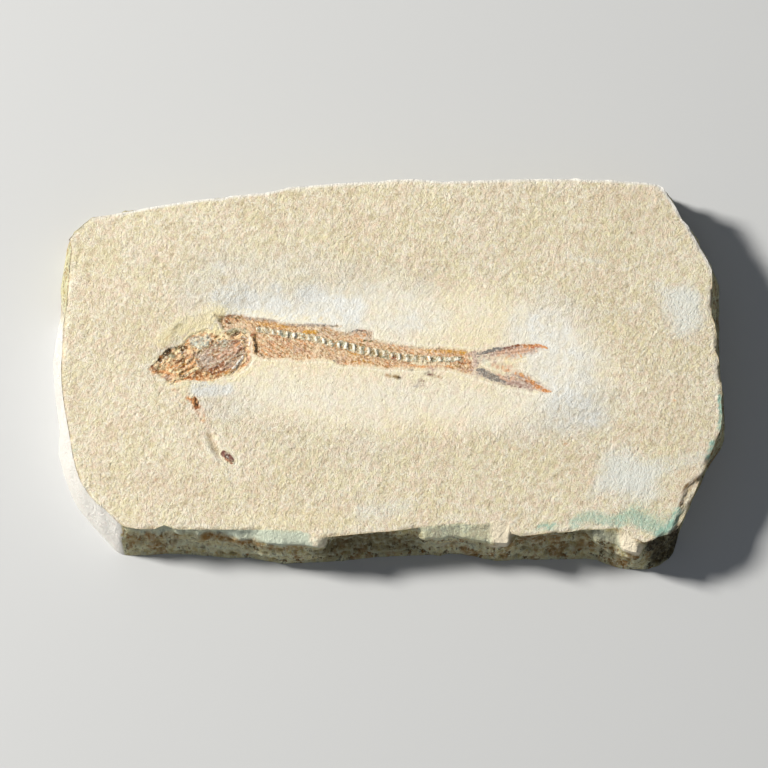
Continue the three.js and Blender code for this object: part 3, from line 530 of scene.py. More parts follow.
tailStrokes = {
    "mauve": [
        (0.7, 0.3, 0.02, 12.2, 1.4, 12.1, 0.75, 12.35, 0, 12.2, -0.75, 11.8, -1.2),
        (0.6, 0.35, 0, 16.9, 1.25, 18.2, 1.45), (0.9, 0.45, 0, 14.4, 1.2, 16.2, 1.5, 18.2, 1.9, 19.6, 2.1),
        (0.45, 0.2, 0, 15, -0.2, 15.5, -0.55), (0.5, 0.35, 0, 14.6, 0.3, 15.6, -0.2, 16.6, -0.4),
        (1, 0.42, 0, 16.4, -2.8, 17.6, -3.15, 18.8, -3.45, 20.2, -3.9),
    ],
    "slate": [
        (0.8, 0.22, 0.02, 12.75, 1.1, 13.55, 1.15, 14, 1.3),
        (1.3, 0.24, 0.02, 13.9, 1.35, 14.9, 1.72, 15.6, 1.88, 16.5, 1.98),
        (0.6, 0.17, 0, 14.6, 1.4, 15.4, 1.4, 16.1, 1.6),
        (1.3, 0.46, 0.02, 12.8, -1.5, 13.9, -1.95, 14.7, -2.3, 15.4, -2.55),
        (0.75, 0.3, 0, 14.7, -2.5, 15.6, -2.75, 16.5, -3.05),
    ],
    "olive": [
        (0.5, 0.1, 0, 15.5, 1.15, 16.4, 1.12), (0.35, 0.2, 0, 14.6, -2.1, 15.6, -2.3),
    ],
    "plum": [
        (0.9, 0.16, 0.02, 16.3, 1.95, 17, 2.02, 17.8, 2.2, 18.6, 2.33),
        (0.5, 0.25, 0, 16.4, 1.6, 17.2, 1.65, 17.9, 1.8),
        (0.6, 0.18, 0.02, 16.9, -3.45, 18.3, -3.75, 19.4, -3.95),
    ],
    "rust": [
        (0.7, 0.14, 0, 17.6, 2.2, 18.7, 2.35, 20.6, 2.42),
        (0.6, 0.17, 0, 18.6, -2.6, 19.4, -3.05, 20.2, -3.5),
    ],
    "orange": [
        (1.1, 0.2, 0.02, 19.2, 2.35, 20.6, 2.35, 21.4, 2.35, 22.1, 2.1, 22.6, 1.95),
        (0.6, 0.25, 0, 18.6, 1.2, 18.95, 0.9, 18.95, 0.6), (0.35, 0.3, 0, 20.9, 1.3, 21.3, 1.5),
        (0.7, 0.3, 0, 19.6, 2.1, 21, 2.2, 22, 2.1), (0.55, 0.35, 0, 16.3, -0.9, 17.1, -1.25),
        (0.45, 0.4, 0, 16.6, 0.4, 18.2, 0.4),
        (0.9, 0.3, 0.02, 18.2, -1.8, 19.2, -2.2, 20, -2.7, 20.9, -3.3),
        (0.8, 0.25, 0, 20.7, -3.9, 21.8, -4.3, 22.7, -4.4, 23.1, -4.4),
    ],
    "redOrange": [
        (0.7, 0.2, 0, 20.6, 2.05, 21.3, 2.15, 21.8, 2.15),
    ],
    "pink": [
        (0.6, 0.55, 0, 17.3, 0.9, 19.8, 1.7), (0.9, 0.5, 0, 15.6, 1.25, 17.4, 1.5, 19.3, 1.8, 20.8, 2),
        (0.7, 0.5, 0, 15.2, -0.7, 16.4, -1.1, 17.3, -0.9),
        (0.8, 0.45, 0, 15.6, -2.2, 16, -2.35, 17.2, -2.6, 18.2, -2.6),
    ],
    "yellowPale": [
        (0.5, 0.3, 0, 18.6, 1.5, 19.6, 1.6),
    ],
    "bluePale": [
        (0.5, 0.7, 0, 13.4, 0, 14.4, -0.6),
    ],
    "yellow": [
        (0.5, 0.5, 0, 16.5, 0, 18.3, -0.3, 19.5, 0.3),
    ],
    "greyMauve": [
        (0.6, 0.3, 0, 12.6, -1.85, 13.7, -2.3, 14.5, -2.55),
        (0.85, 0.34, 0, 15.4, -2.9, 16.6, -3.15, 17.8, -3.35),
    ],
    "ochre": [
        (0.4, 0.35, 0, 18.9, -1.9, 20.2, -2.5, 21, -3.1),
    ],
    "deepOrange": [
        (1.2, 0.3, 0.02, 19.6, -2.75, 20.3, -3.1, 21, -3.55, 21.7, -3.95, 22.3, -4.3),
    ],
}
bedStrokes = {
    "slate": [
        (0.9, 0.32, 0, 5, -1.75, 5.8, -1.75), (0.5, 0.28, 0, 3, -1.3, 3.25, -1.3),
        (0.35, 0.15, 0, 1.9, -1.05, 2.6, -1.1), (0.8, 0.3, 0, 4.4, -3, 4.35, -3.5, 3.7, -3.7),
        (0.35, 0.3, 0, 2.9, -2.7, 4.2, -2.8),
    ],
    "plum": [
        (0.75, 0.33, 0, 5.5, -1.7, 6.2, -1.9, 6.7, -2.1),
        (0.8, 0.32, 0, 4.5, -2.75, 4.85, -3, 4.75, -3.4, 4.4, -3.8),
        (1, 0.5, 0, -23.5, -13.7, -22.4, -14.7),
    ],
    "mauve": [
        (0.7, 0.5, 0, 5.6, -1.3, 6.5, -1.2),
    ],
    "tan": [
        (0.8, 0.26, 0, 6.9, -2.25, 7.5, -2.35), (0.75, 0.36, 0, -0.2, -2.05, 0.8, -2.2, 1.3, -2.4),
        (0.9, 0.3, -0.03, -31.1, 4, -30.7, 4.5), (0.35, 0.25, -0.02, -32.3, 2.6, -31.9, 1.9),
        (0.35, 0.3, 0, -34.3, -1.9, -33.2, -2.3), (0.25, 0.18, 0, -6.5, 7.6, -6.2, 6.9),
        (0.15, 0.3, 0, -25.4, -11.2, -24.8, -12.6, -24, -13.6),
        (0.5, 0.14, 0, -12.3, -4.2, -11.7, -3.8, -11.1, -4.3), (0.4, 0.14, 0, -12.1, -5, -11.5, -5.2),
        (0.8, 0.27, 0, 40.7, -22.5, 41.2, -21.3, 41.7, -19.6, 42, -18.5, 42.8, -17.8, 44.2, -16.8),
    ],
    "olive": [
        (0.5, 0.3, 0, 0.4, -2.2, 1.4, -2.45), (1.1, 0.28, -0.05, -30.5, 4.8, -30.1, 5.1, -29.7, 5.25),
        (0.25, 0.4, 0, -18, -0.2, -17.8, -0.5), (0.35, 0.35, -0.02, -24.9, 5.2, -24.2, 4.2),
        (0.35, 0.5, 0, -37.7, -23.8, -36.9, -24),
    ],
    "dark": [
        (0.8, 0.27, -0.02, 1.4, -2.45, 1.8, -2.45), (0.8, 0.2, -0.02, -27.65, -5.9, -27.55, -6.5),
        (0.55, 0.18, -0.02, -23.3, -13.9, -22.7, -14.5), (0.6, 0.12, -0.03, -24.45, -10.3, -24.3, -10.35),
        (0.6, 0.12, -0.03, -25.25, -11.45, -25.1, -11.6), (0.6, 0.2, -0.08, 34, 18.3, 34.1, 18.2),
        (0.5, 0.17, -0.06, 35, 19, 35.1, 19),
    ],
    "yellow": [
        (0.6, 1.3, 0, -32.8, 2.8, -31, 4.4, -28.5, 5.8, -26, 6.8, -24.5, 7.6),
        (0.55, 0.6, 0, -29.5, 4, -27.5, 5.2, -25.8, 5.6),
        (0.5, 0.6, 0, -33.2, -3.2, -30, -3.8, -26.5, -3.4, -23, -2.7, -20.3, -1.4),
        (0.3, 0.5, 0, -19.5, 0.2, -18, -0.2, -16, -0.1),
        (0.4, 0.6, 0, -24, 7.5, -20, 7.2, -15, 6.4, -9, 6.1), (0.1, 3, 0, 3, 8.4, 12, 7.4, 18, 7),
        (0.8, 0.5, 0, -25.3, 5.8, -24.5, 4.6, -24.1, 3.7), (0.4, 2.2, 0, -21, -23.8, -14, -23.4, -6, -23.6),
        (0.35, 1.6, 0, -37.6, -22.6, -35.8, -22.4), (0.22, 3, 0, -26, 10, -16, 13, -4, 12),
        (0.2, 2, 0, 4, 3.6, 13, 4.4, 16, 6.5),
    ],
    "orange": [
        (0.18, 0.8, 0, -29.2, 3.6, -27.4, 5, -25.6, 5.2), (0.3, 0.7, 0, -32.2, -3.3, -30.8, -4.2),
        (0.3, 0.35, 0, -9.8, 6.35, -9.4, 6.3), (0.55, 0.6, 0, -27.5, -6.6, -26.9, -7.6, -26.4, -8.8),
        (0.8, 0.4, 0, -28.7, -5.3, -28.2, -5.9), (0.35, 0.5, 0, -30.2, -6, -28.9, -6.1),
        (0.25, 0.6, 0, -30.3, -4.7, -29.8, -4.9), (0.7, 0.25, 0, -23.2, -14.4, -22.4, -15),
        (0.6, 0.22, 0, 25, -12.3, 25.2, -12.4), (0.55, 0.25, 0, 30, -14.3, 30.2, -14.3),
        (0.6, 0.25, 0, 40.7, -5.8, 40.9, -5.9), (0.5, 0.3, 0, -33.2, -17.2, -33, -17.4),
    ],
    "ochre": [
        (0.6, 0.3, 0, -32.6, 1.9, -32.1, 2.9, -31.4, 3.9), (0.12, 4, 0, -18, -4.6, -5, -4.6, 6, -5.5),
        (0.1, 3.4, 0, 5, 7.6, 12, 7, 18, 6),
    ],
    "rust": [
        (0.9, 0.35, 0, -27.8, -5.5, -27.65, -6.3, -27.5, -6.9), (0.5, 0.3, 0, -28.5, -5.7, -28.3, -6.1),
    ],
    "pale": [
        (0.7, 0.1, 0.02, -23.2, -13.95, -22.8, -14.3), (0.8, 3.4, 0, 42.1, 8.6, 42.6, 6.4),
        (0.75, 4, 0, 33, -16.2, 35.3, -18), (0.5, 1.6, 0, 36, -16.5, 41, -14.8, 44, -14),
        (0.6, 1.2, 0, 33.5, -17.2, 35, -18.2), (0.4, 1.2, 0, 29, -19.5, 33, -15),
        (0.45, 0.5, 0, 25, 16, 27, 15.3, 31, 14.8), (0.35, 0.6, 0, 30, 7, 36, 8),
        (0.4, 1, 0, 38, 11, 44, 9.5), (0.3, 1.2, 0, -38, 16.5, -36, 14.5), (0.5, 1.8, 0, -4, -22, 2, -21.5),
    ],
    "bloom": [
        (1.3, 2.4, 0, -23, 9.2, -14, 8.4, -6, 7.1), (0.5, 6, 0, -24, 10.6, -14, 10, -5, 8.4, 2, 7),
        (1, 1, 0, -27.2, -4.1, -24.8, -4.2, -23, -4), (0.7, 6, 0, 23, 4, 25.5, -1, 26, -5),
        (0.5, 2.5, 0, 26, -5, 28.5, -8), (0.35, 3.6, 0, -25, -6, -15, -4.6, -5, -5, 8, -6, 19, -8),
        (0.2, 3.2, 0, 5, 7.6, 12, 7, 18, 6), (0.12, 5, 0, -18, -9, -4, -11),
    ],
    "pinkStone": [
        (0.35, 2.4, 0, -34.5, -17.3, -31.8, -16.8), (0.3, 2.2, 0, -28.5, -19.3, -25.5, -18.8),
        (0.2, 3, 0, -36, 2, -38, 8),
    ],
    "redOrange": [
        (0.5, 0.1, 0, 16.2, -15, 16.9, -15.6),
    ],
    "teal": [
        (0.6, 1.3, 0, 33.4, -22.9, 36, -23.4, 38.2, -24.4),
        (1.1, 0.6, 0, 38.4, -25.3, 39.6, -24.6, 40.4, -23.2, 40.9, -21.9),
        (0.35, 1.5, 0, 35, -21.8, 39, -23), (0.6, 1.1, 0, 26.2, -23.8, 29, -22.8, 32.4, -23.8),
        (0.75, 0.6, 0, 21.4, -24.3, 23.6, -24.1), (1.3, 0.45, 0, 47.3, -5.3, 47.4, -7.8, 47.2, -9.8),
        (0.8, 0.5, 0, 46.2, -12, 45.4, -14.2), (0.35, 0.5, 0, -44.6, -12.8, -44.7, -13.2),
    ],
}
# Listed tones of the front face, as above but with the x and z of each point
faceStrokes = {
    # paleFace: a paler grey-green on the facets just below the rim, partly the stone's tone and partly
    # painted light
    "paleFace": [
        (1, 1.3, 0, -22, 8.8, -17, 8.8, -11, 9.1), (0.6, 1, 0, -36, 8.8, -28, 8.6, -23, 8.9),
        (0.3, 1, 0, -31, 4, -27, 3.2, -20, 2.6, -15, 3.6), (0.5, 1.2, 0, 5.5, 8.8, 9, 8.8, 13.8, 8.8),
        (0.5, 0.6, 0, 4, 4.2, 9, 4.6, 12, 4), (0.4, 1, 0, 29.5, 8.6, 32.6, 8.2),
    ],
    # darkFace: painted shade on the set-back middle and other shaded parts of the front
    "darkFace": [
        (0.75, 1.1, 0, 29.3, 8.6, 32.6, 8), (0.4, 1.6, 0, 31, 4, 37, 3.6),
        (1, 2.2, 0, -8.5, 5, -4.5, 7, -1, 7.6), (0.8, 1.6, 0, 18, 7.6, 22, 7.2, 27, 7.6),
        (0.5, 1.6, 0, 20, 3.5, 27, 3), (0.9, 3, 0, -7, 3.5, 2, 4),
    ],
    "creamFace": [
        (1, 1.1, 0, 15.4, 9.2, 16.4, 8.8, 16.2, 7.4, 15.4, 6.4), (0.95, 1, 0, 33.8, 8.8, 35, 8),
        (0.9, 0.8, 0, -10.6, 9.2, -9.6, 8.6),
    ],
    "rustFace": [
        (0.9, 1.1, 0, -26.5, 7.2, -23, 6.6, -19, 6.8), (0.6, 0.8, 0, -17, 6, -15.5, 5.5),
        (0.5, 1.4, 0, -36, 5.5, -31, 6.5), (0.5, 1.4, 0, 20, 7.5, 24, 6.5),
        (0.6, 0.9, 0, 30.5, 5.5, 33, 4.6),
    ],
    "shadeFace": [
        (1.2, 1.8, 0, 37.8, 8, 38.8, 5, 39, 2), (1.2, 1.6, 0, 41, 8, 41, 1),
    ],
}


def strokesOf(*groups):                   # each stroke as (pigment, strength, half width, rise, route)
    return [
        (pigment, *stroke[:3], np.reshape(stroke[3:], (-1, 2)))
        for group in groups for pigment, strokes in group.items() for stroke in strokes
    ]


# How a stroke wanders from its route: (mm, length, seed)
wander = {"fine": (0.15, 0.55, 31), "finer": (0.05, 0.2, 33), "broad": (0.8, 2.6, 35)}


def paintFrom(strokes, points):           # amounts of each pigment and the rise, at points (x, y)
    ground = flat(*points.T)
    fine, finer, broad = (size * drift(ground, length, seed) for size, length, seed in wander.values())
    spots = 0.5 + 0.7 * smooth(noise(ground, 0.5, 37), -0.5, 0.45)
    amounts, rise = {}, np.zeros(len(points))
    for pigment, strength, reach, lift, route in strokes:
        amount = amounts.setdefault(pigment, np.zeros(len(points)))
        margin = 2 * reach + 0.6
        low, high = route.min(axis=0) - margin, route.max(axis=0) + margin
        close = np.flatnonzero(((points > low) & (points < high)).all(axis=1))
        at = points[close] + fine[close] * min(1, 0.3 + reach) + finer[close]
        away = awayFrom(route, at + broad[close] * min(1, 0.5 * reach)) / reach
        laid = strength * (1 - smooth(away, 0.3, 1.5)) * (spots[close] if reach < 1 else 1)
        amount[close] = 1 - (1 - amount[close]) * (1 - np.minimum(laid, 1))
        rise[close] += lift * (1 - smooth(away, 0.2, 1.3))
    return amounts, rise


topStrokes = strokesOf(headStrokes, bodyStrokes, tailStrokes, bedStrokes)
print("top face:", len(topStrokes), "strokes")

# The fish's surface in mm, piece by piece. Roughness is in parts of (height, length, seed)
vertebrae = {
    "level": 0.02, "rise": 0.13, "hollow": 0.08, "beadShare": 0.26, "lean": 0.12, "wander": 0.12,
    "shift": 0.25, "sizeSwing": 0.35, "rough": [(0.035, 0.4, 58), (0.02, 0.2, 49)],
    "places": [(-18.7, 0), (-8.3, 10), (2.55, 20), (5.9, 23), (9.85, 26), (11, 27)],
    "gaps": [(-18, 0.2), (-10, 0.35), (-7, 0.8), (-2, 1.1), (2, 0.85), (5, 0.4)],
}


def beadDraw(along):                      # each vertebra's own size, about -1 to 1
    return 2.2 * noise(flat(np.floor(along) * 1.37 + 0.5, 0.5), 1, 60)


def spineFrame(ground):                   # share along a vertebra, -1 to 1 across it, and its own size
    x, y = ground[:, 0], ground[:, 1]
    middle, half = (np.interp(x, spineLine[:, 0], spineLine[:, k]) for k in (1, 2))
    along = between(vertebrae["places"], x + vertebrae["lean"] * (y - middle)) + 0.5
    along += vertebrae["wander"] * noise(ground, 0.7, 74)
    across = (y - middle) / half - vertebrae["shift"] * beadDraw(along + 40)
    return along - np.floor(along), across, beadDraw(along)


def spineHeight(ground, depth):
    part, across, own = spineFrame(ground)
    bead = np.exp(-(((part - 0.5) / vertebrae["beadShare"]) ** 2))
    pinch = np.sqrt(np.clip(1 - (across * 0.95) ** 2, 0, 1))
    fade = 1 - 0.55 * smooth(ground[:, 0], 5, 9)
    body = fade * (vertebrae["rise"] * bead - vertebrae["hollow"] * (1 - bead) * pinch)
    body *= 0.9 + vertebrae["sizeSwing"] * own
    return vertebrae["level"] + body + grit(ground, *vertebrae["rough"])


# partly the bone's own colour, partly painted highlight on the raised rims and painted shade in the sunken
# gaps
def spineAmounts(ground):                 # how pale the vertebrae are and how dark the gaps
    part, across, own = spineFrame(ground)
    off, across = np.abs(part - 0.5), np.abs(across)
    width = 0.3 + 0.07 * own
    bead = (1 - smooth(off, width * 0.3, width * 1.2)) * (1 - smooth(across, 0.6, 1))
    gap = smooth(off, 0.1, 0.4) * (1 - smooth(across, 0.3, 1.05))
    gap *= between(vertebrae["gaps"], ground[:, 0]) + 0.35 * noise(ground, 1.3, 72)
    return {"bead": bead * (0.85 + 0.3 * own), "gap": np.clip(gap, 0, 1)}


flank = {
    "level": -0.04, "backDrop": 0.06, "ribPitch": 0.54, "ribLean": 1.05, "ribHeight": 0.028, "ribWander": 0.3,
    "streaks": (0.035, 0.26, 42), "rough": [(0.03, 0.45, 59), (0.035, 0.22, 43)],
    "film": [
        (-25, 0.85), (-19, 0.95), (-16, 1), (-12.5, 0.95), (-11, 0.6), (-8.5, 0.6), (-6, 0.9), (0, 0.9),
        (5, 0.75), (8, 0.8), (11, 0.95),
    ],
}


def trunkHeight(ground, depth):
    x, y = ground[:, 0], ground[:, 1]
    bend = x + flank["ribLean"] * y + flank["ribWander"] * noise(ground, 1.6, 41)
    ridge = np.cos(2 * np.pi * bend / flank["ribPitch"])
    north = smooth(y - np.interp(x, spineLine[:, 0], spineLine[:, 1]), 0.2, 1.4)
    level = flank["level"] - flank["backDrop"] * north * (1 - smooth(depth, 0.2, 1.2))
    strong = flank["ribHeight"] * (1 - 0.75 * smooth(x, -13, -9)) * (0.6 + 0.6 * noise(ground, 1.1, 56))
    ribs = smooth(depth, 0.1, 0.7) * (strong * ridge + 0.03 * noise(ground, 1.3, 57))
    return level + ribs + grit(grainwise(ground, -42, 0.5), flank["streaks"]) + grit(ground, *flank["rough"])


head = {
    "level": -0.03, "swell": 0.08, "eye": (-31.1, 0.6), "eyeDepth": 0.14, "turn": 33,
    "streaks": (0.1, 0.7, 44), "rough": (0.09, 0.5, 45), "fine": (0.03, 0.22, 46),
}


def boneHeight(ground, depth):
    x, y = (ground[:, :2] - head["eye"]).T
    socket = head["eyeDepth"] * (1 - smooth(np.hypot(x, y * 1.4), 0.5, 1.2))
    rough = grit(grainwise(ground, head["turn"], 0.35), head["streaks"]) + grit(ground, head["rough"])
    rough = rough * smooth(depth, -0.1, 0.6) + grit(ground, head["fine"])
    return head["level"] + head["swell"] * smooth(depth, 0, 1.6) + rough - socket


gill = {
    "level": 0.01, "swell": 0.12, "streaks": [(0.09, 0.55, 47), (0.04, 0.25, 48)], "rough": (0.045, 0.4, 55),
}


def gillHeight(ground, depth):
    rough = grit(grainwise(ground, head["turn"], 0.35), *gill["streaks"]) + grit(ground, gill["rough"])
    return gill["level"] + gill["swell"] * smooth(depth, 0, 1.4) + rough


fins = {
    "root": (7, -0.1), "fan": 6, "rayPitch": 0.3, "rayHeight": 0.025, "jointPitch": 0.45,
    "jointHeight": 0.008, "tailLevel": -0.02, "tailRise": 0.01, "tailRough": (0.03, 0.3, 50),
    "backPitch": 0.4, "backLevel": -0.03, "backRise": 0.06, "backRay": 0.02, "backRough": (0.015, 0.25, 51),
}


def finHeight(ground, depth):
    x, y = (ground[:, :2] - fins["root"]).T
    line = np.cos(2 * np.pi * np.arctan2(y, x) * fins["fan"] / fins["rayPitch"])
    joints = np.cos(2 * np.pi * ground[:, 0] / fins["jointPitch"])
    relief = fins["tailRise"] + fins["rayHeight"] * line + fins["jointHeight"] * joints
    return fins["tailLevel"] + smooth(depth, 0, 0.5) * relief + grit(ground, fins["tailRough"])


def backFinHeight(ground, depth):
    line = np.cos(2 * np.pi * (ground[:, 0] + 0.5 * ground[:, 1]) / fins["backPitch"])
    relief = smooth(depth, 0, 0.3) * (fins["backRise"] + fins["backRay"] * line)
    return fins["backLevel"] + relief + grit(ground, fins["backRough"])


def shoulderHeight(ground, depth):
    return 0.03 + 0.08 * smooth(depth, 0, 0.25) + grit(ground, (0.015, 0.2, 52))


def crumbHeight(ground, depth):
    dome = 0.2 * np.sqrt(np.clip(depth / 0.45, 0, 1))
    return -0.02 + dome + grit(ground, (0.09, 0.3, 53), (0.04, 0.16, 54))


surfaces = {                              # from the lowest to the one that lies on top
    "trunk": trunkHeight, "dorsal_fin": backFinHeight, "tail_fin": finHeight, "skull": boneHeight,
    "gill_cover": gillHeight, "shoulder_bone": shoulderHeight, "backbone": spineHeight,
    "bone_scrap_upper": crumbHeight, "bone_scrap_lower": crumbHeight,
}
raisedPieces = ("backbone", "shoulder_bone", "bone_scrap_upper", "bone_scrap_lower")


def depths(points):                       # ragged depth inside each outline, for points (x, y)
    ground = flat(*points.T)
    ragged = 0.1 * drift(ground, 0.5, 21) + 0.045 * drift(ground, 0.19, 23)
    found = {}
    for name, outline in outlines.items():
        depth = np.full(len(points), -9.0)
        low, high = np.min(outline, axis=0) - 2, np.max(outline, axis=0) + 2
        close = np.flatnonzero(((points > low) & (points < high)).all(axis=1))
        depth[close] = insideBy(outline, points[close] + ragged[close])
        found[name] = depth
    return found


def faceHeight(points, inside, rise):     # the finished surface of stone and fish together, in mm
    ground = flat(*points.T)
    bed = bedHeight(ground)
    height = bed + grainHeight(ground)
    for name, surface in surfaces.items():
        close = np.flatnonzero(inside[name] > -0.15)
        share = smooth(inside[name][close], -0.15, 0.1 if name in raisedPieces else 0.45)
        own = bed[close] + surface(ground[close], inside[name][close])
        height[close] = height[close] * (1 - share) + own * share
    return height + rise


def recessed(heights, mask, reach):       # how far each grid point lies below its surroundings, in mm
    window = np.ones(2 * reach + 1)
    sums = []
    for sheet in (np.where(mask, heights, 0), mask.astype(float)):
        for axis in (0, 1):
            sheet = np.apply_along_axis(np.convolve, axis, sheet, window, "same")
        sums.append(sheet)
    return sums[0] / np.maximum(sums[1], 1) - heights


# masks for painted shade in hollows and painted highlight on crests
def hollowShadeAndCrestHighlight(recess, full):             # how hollow and how raised, 1 from that many mm on
    return {label: np.clip(way * recess / full, 0, 1) for label, way in (("low", 1), ("high", -1))}


# Mesh making
def makePiece(name, places, faces, layers):
    mesh = bpy.data.meshes.new(name)
    mesh.from_pydata((places * mm).tolist(), [], faces)
    mesh.update()
    for label, amounts in layers.items():
        layer = mesh.attributes.new(label, "FLOAT", "POINT")
        layer.data.foreach_set("value", np.asarray(amounts, np.float32))
    mesh.polygons.foreach_set("use_smooth", np.ones(len(mesh.polygons), bool))
    piece = bpy.data.objects.new(name, mesh)
    bpy.context.scene.collection.objects.link(piece)
    return piece


# Shader writing
class Wire:                               # one socket, so that shader maths reads as plain sums
    def __init__(self, finish, socket):
        self.finish, self.socket = finish, socket

    def sum(self, operation, *values):
        return self.finish.add("ShaderNodeMath", {"operation": operation}, dict(enumerate(values)))

    def __add__(self, other):
        return self.sum("ADD", self, other)

    def __sub__(self, other):
        return self.sum("SUBTRACT", self, other)

    def __rsub__(self, other):
        return self.sum("SUBTRACT", other, self)

    def __mul__(self, other):
        return self.sum("MULTIPLY", self, other)

    __radd__, __rmul__ = __add__, __mul__

    def clamped(self):
        return self.finish.add("ShaderNodeClamp", {}, {0: self})

    def over(self, start, end):           # 0 below start, 1 above end
        return self.finish.add(
            "ShaderNodeMapRange", {"interpolation_type": "SMOOTHSTEP"}, {0: self, 1: start, 2: end}
        )

    def under(self, start, end):          # 1 below start, 0 above end
        return 1 - self.over(start, end)


class Finish:                             # a material and its nodes
    def __init__(self, name):
        self.material = bpy.data.materials.new(name)
        self.material.use_nodes = True
        self.nodes = self.material.node_tree.nodes
        self.links = self.material.node_tree.links
        self.shader = self.nodes["Principled BSDF"]
        coordinates = self.add("ShaderNodeTexCoord", {}, {}, "Object")
        self.place = self.add(
            "ShaderNodeVectorMath", {"operation": "SCALE"}, {0: coordinates, "Scale": 1 / mm}
        )

    def add(self, kind, settings, sockets, output=0):
        node = self.nodes.new(kind)
        for key, value in settings.items():
            setattr(node, key, value)
        for key, value in sockets.items():
            self.feed(node.inputs[key], value)
        return Wire(self, node.outputs[output])

    def feed(self, socket, value):
        if isinstance(value, Wire):
            self.links.new(value.socket, socket)
        elif socket.type == "RGBA" and len(value) == 3:
            socket.default_value = (*value, 1)
        else:
            socket.default_value = value

    def layer(self, label):
        return self.add("ShaderNodeAttribute", {"attribute_name": label}, {}, "Fac")

    def cloud(self, length, detail=2.0, rough=0.5, stretch=(1, 1, 1), turn=0, shift=0):
        spin = {"Vector": self.place, "Angle": math.radians(-turn), "Center": (shift, 0, 0)}
        at = self.add("ShaderNodeVectorRotate", {"rotation_type": "Z_AXIS"}, spin) if turn else self.place
        at = self.add("ShaderNodeVectorMath", {"operation": "MULTIPLY"}, {0: at, 1: stretch})
        sockets = {"Vector": at, "Scale": 1 / length, "Detail": detail, "Roughness": rough}
        return self.add("ShaderNodeTexNoise", {}, sockets, 0)

    def pits(self, length):
        return self.add("ShaderNodeTexVoronoi", {}, {"Vector": self.place, "Scale": 1 / length}, "Distance")

    def mixed(self, share, start, end):
        return self.add("ShaderNodeMix", {"data_type": "RGBA"}, {"Factor": share, 6: start, 7: end}, 2)

    def coated(self, colour, *coats):     # colours laid on one after another, each as (share, colour)
        for share, coat in coats:
            colour = self.mixed(share, colour, coat)
        return colour


# Pigments, as linear red, green and blue
pigments = {
    "yellowPale": (0.82, 0.74, 0.52), "bluePale": (0.60, 0.66, 0.58), "greyGreen": (0.40, 0.41, 0.29),
    "greyMauve": (0.41, 0.34, 0.29), "mauve": (0.48, 0.33, 0.28), "pink": (0.70, 0.42, 0.28),
    "tan": (0.42, 0.25, 0.11), "orange": (0.74, 0.33, 0.12), "deepOrange": (0.60, 0.22, 0.05),
    "ochre": (0.60, 0.30, 0.03), "redOrange": (0.48, 0.11, 0.03), "slate": (0.20, 0.19, 0.175),
    "plum": (0.22, 0.09, 0.07), "olive": (0.17, 0.145, 0.06), "rust": (0.27, 0.085, 0.022),
    "dark": (0.035, 0.018, 0.006), "pale": (0.88, 0.90, 0.84), "yellow": (0.94, 0.83, 0.50),
    "pinkStone": (0.66, 0.46, 0.33), "teal": (0.36, 0.60, 0.49),
}
# pit also serves as painted shade in pits and hollows, crest as painted highlight on crests
lime = {
    "light": (0.97, 0.90, 0.72), "deep": (0.81, 0.71, 0.49), "pit": (0.54, 0.42, 0.25),
    "bloom": (0.83, 0.84, 0.81), "bloomShade": (0.79, 0.78, 0.71),
    "crest": (1, 0.96, 0.83), "pinkish": (0.92, 0.71, 0.54), "yellowish": (0.92, 0.84, 0.52),
    "pitLength": 0.85,
}
limeClouds = {                            # (length in mm, detail, roughness, stretch, turn, shift)
    "broad": (9, 3), "medium": (1.3, 3, 0.6), "fine": (0.44, 5, 0.78), "speck": (0.22, 3, 0.7),
    "ridge": (0.7, 4, 0.6, (0.6, 1, 1), 48, 7), "wash": (5, 4, 0.6, (1, 1, 1), 15, 8),
    "blush": (0.8, 3, 0.65, (1, 1, 1), 40, 3), "patchy": (2.8, 3, 0.6, (1, 1, 1), 20, 9),
}


def limeColour(finish):                   # the bare stone, and the height of its fine grain
    broad, medium, fine, speck, ridge, wash, blush, patchy = (
        finish.cloud(*settings) for settings in limeClouds.values()
    )
    pit = finish.pits(lime["pitLength"]).under(0.08, 0.36)
    clean = finish.layer("prepared")
    shade = (broad * 0.45 + medium * 0.55).over(0.38, 0.6)
    bloomed = finish.mixed(medium.over(0.42, 0.62), lime["bloom"], lime["bloomShade"])
    bloom = (finish.layer("bloom") * (patchy * 2.2 + fine * 0.8 - 0.4)).clamped()
    colour = finish.coated(
        lime["light"],
        (shade, lime["deep"]),
        (fine.over(0.5, 0.62) * 0.5, lime["pit"]),
        (fine.under(0.39, 0.5) * 0.7, lime["crest"]),
        # painted shade: darker in the sunken pits
        (pit * fine.over(0.45, 0.6) * 0.5, lime["pit"]),
        (wash.over(0.5, 0.62) * 0.3, lime["pinkish"]),
        (wash.under(0.38, 0.5) * 0.35, lime["yellowish"]),
        (clean * 0.65, lime["deep"]),
        (blush.over(0.51, 0.62) * 0.5, lime["pinkish"]),
        (blush.under(0.39, 0.49) * 0.5, lime["yellowish"]),
        (bloom, bloomed),
        (speck.over(0.54, 0.68) * (0.5 - 0.3 * clean), lime["pit"]),
        (speck.under(0.32, 0.45) * 0.5, lime["crest"]),
        # painted shade in hollows and painted highlight on crests
        (finish.layer("low") * 0.55, lime["pit"]),
        (finish.layer("high") * 0.4, lime["crest"]),
    )
    height = fine * 1.3 + speck * 0.6 + medium * 0.3 + ridge * 1.2 - pit * 0.3
    return colour, height * (1 - clean * 0.55)


def stained(finish, colour, broken, start, end, stretch=1, turn=0):    # the pigments, broken up by grain
    grain = finish.cloud(0.45, 3, 0.65, (stretch, 1, 1), turn, 5) * 0.9 + finish.cloud(0.17, 2, 0.6) * 0.6
    grain = (grain - 0.75) * broken
    coats = [((finish.layer(label) + grain).over(start, end), pigments[label]) for label in pigments]
    return finish.coated(colour, *coats)


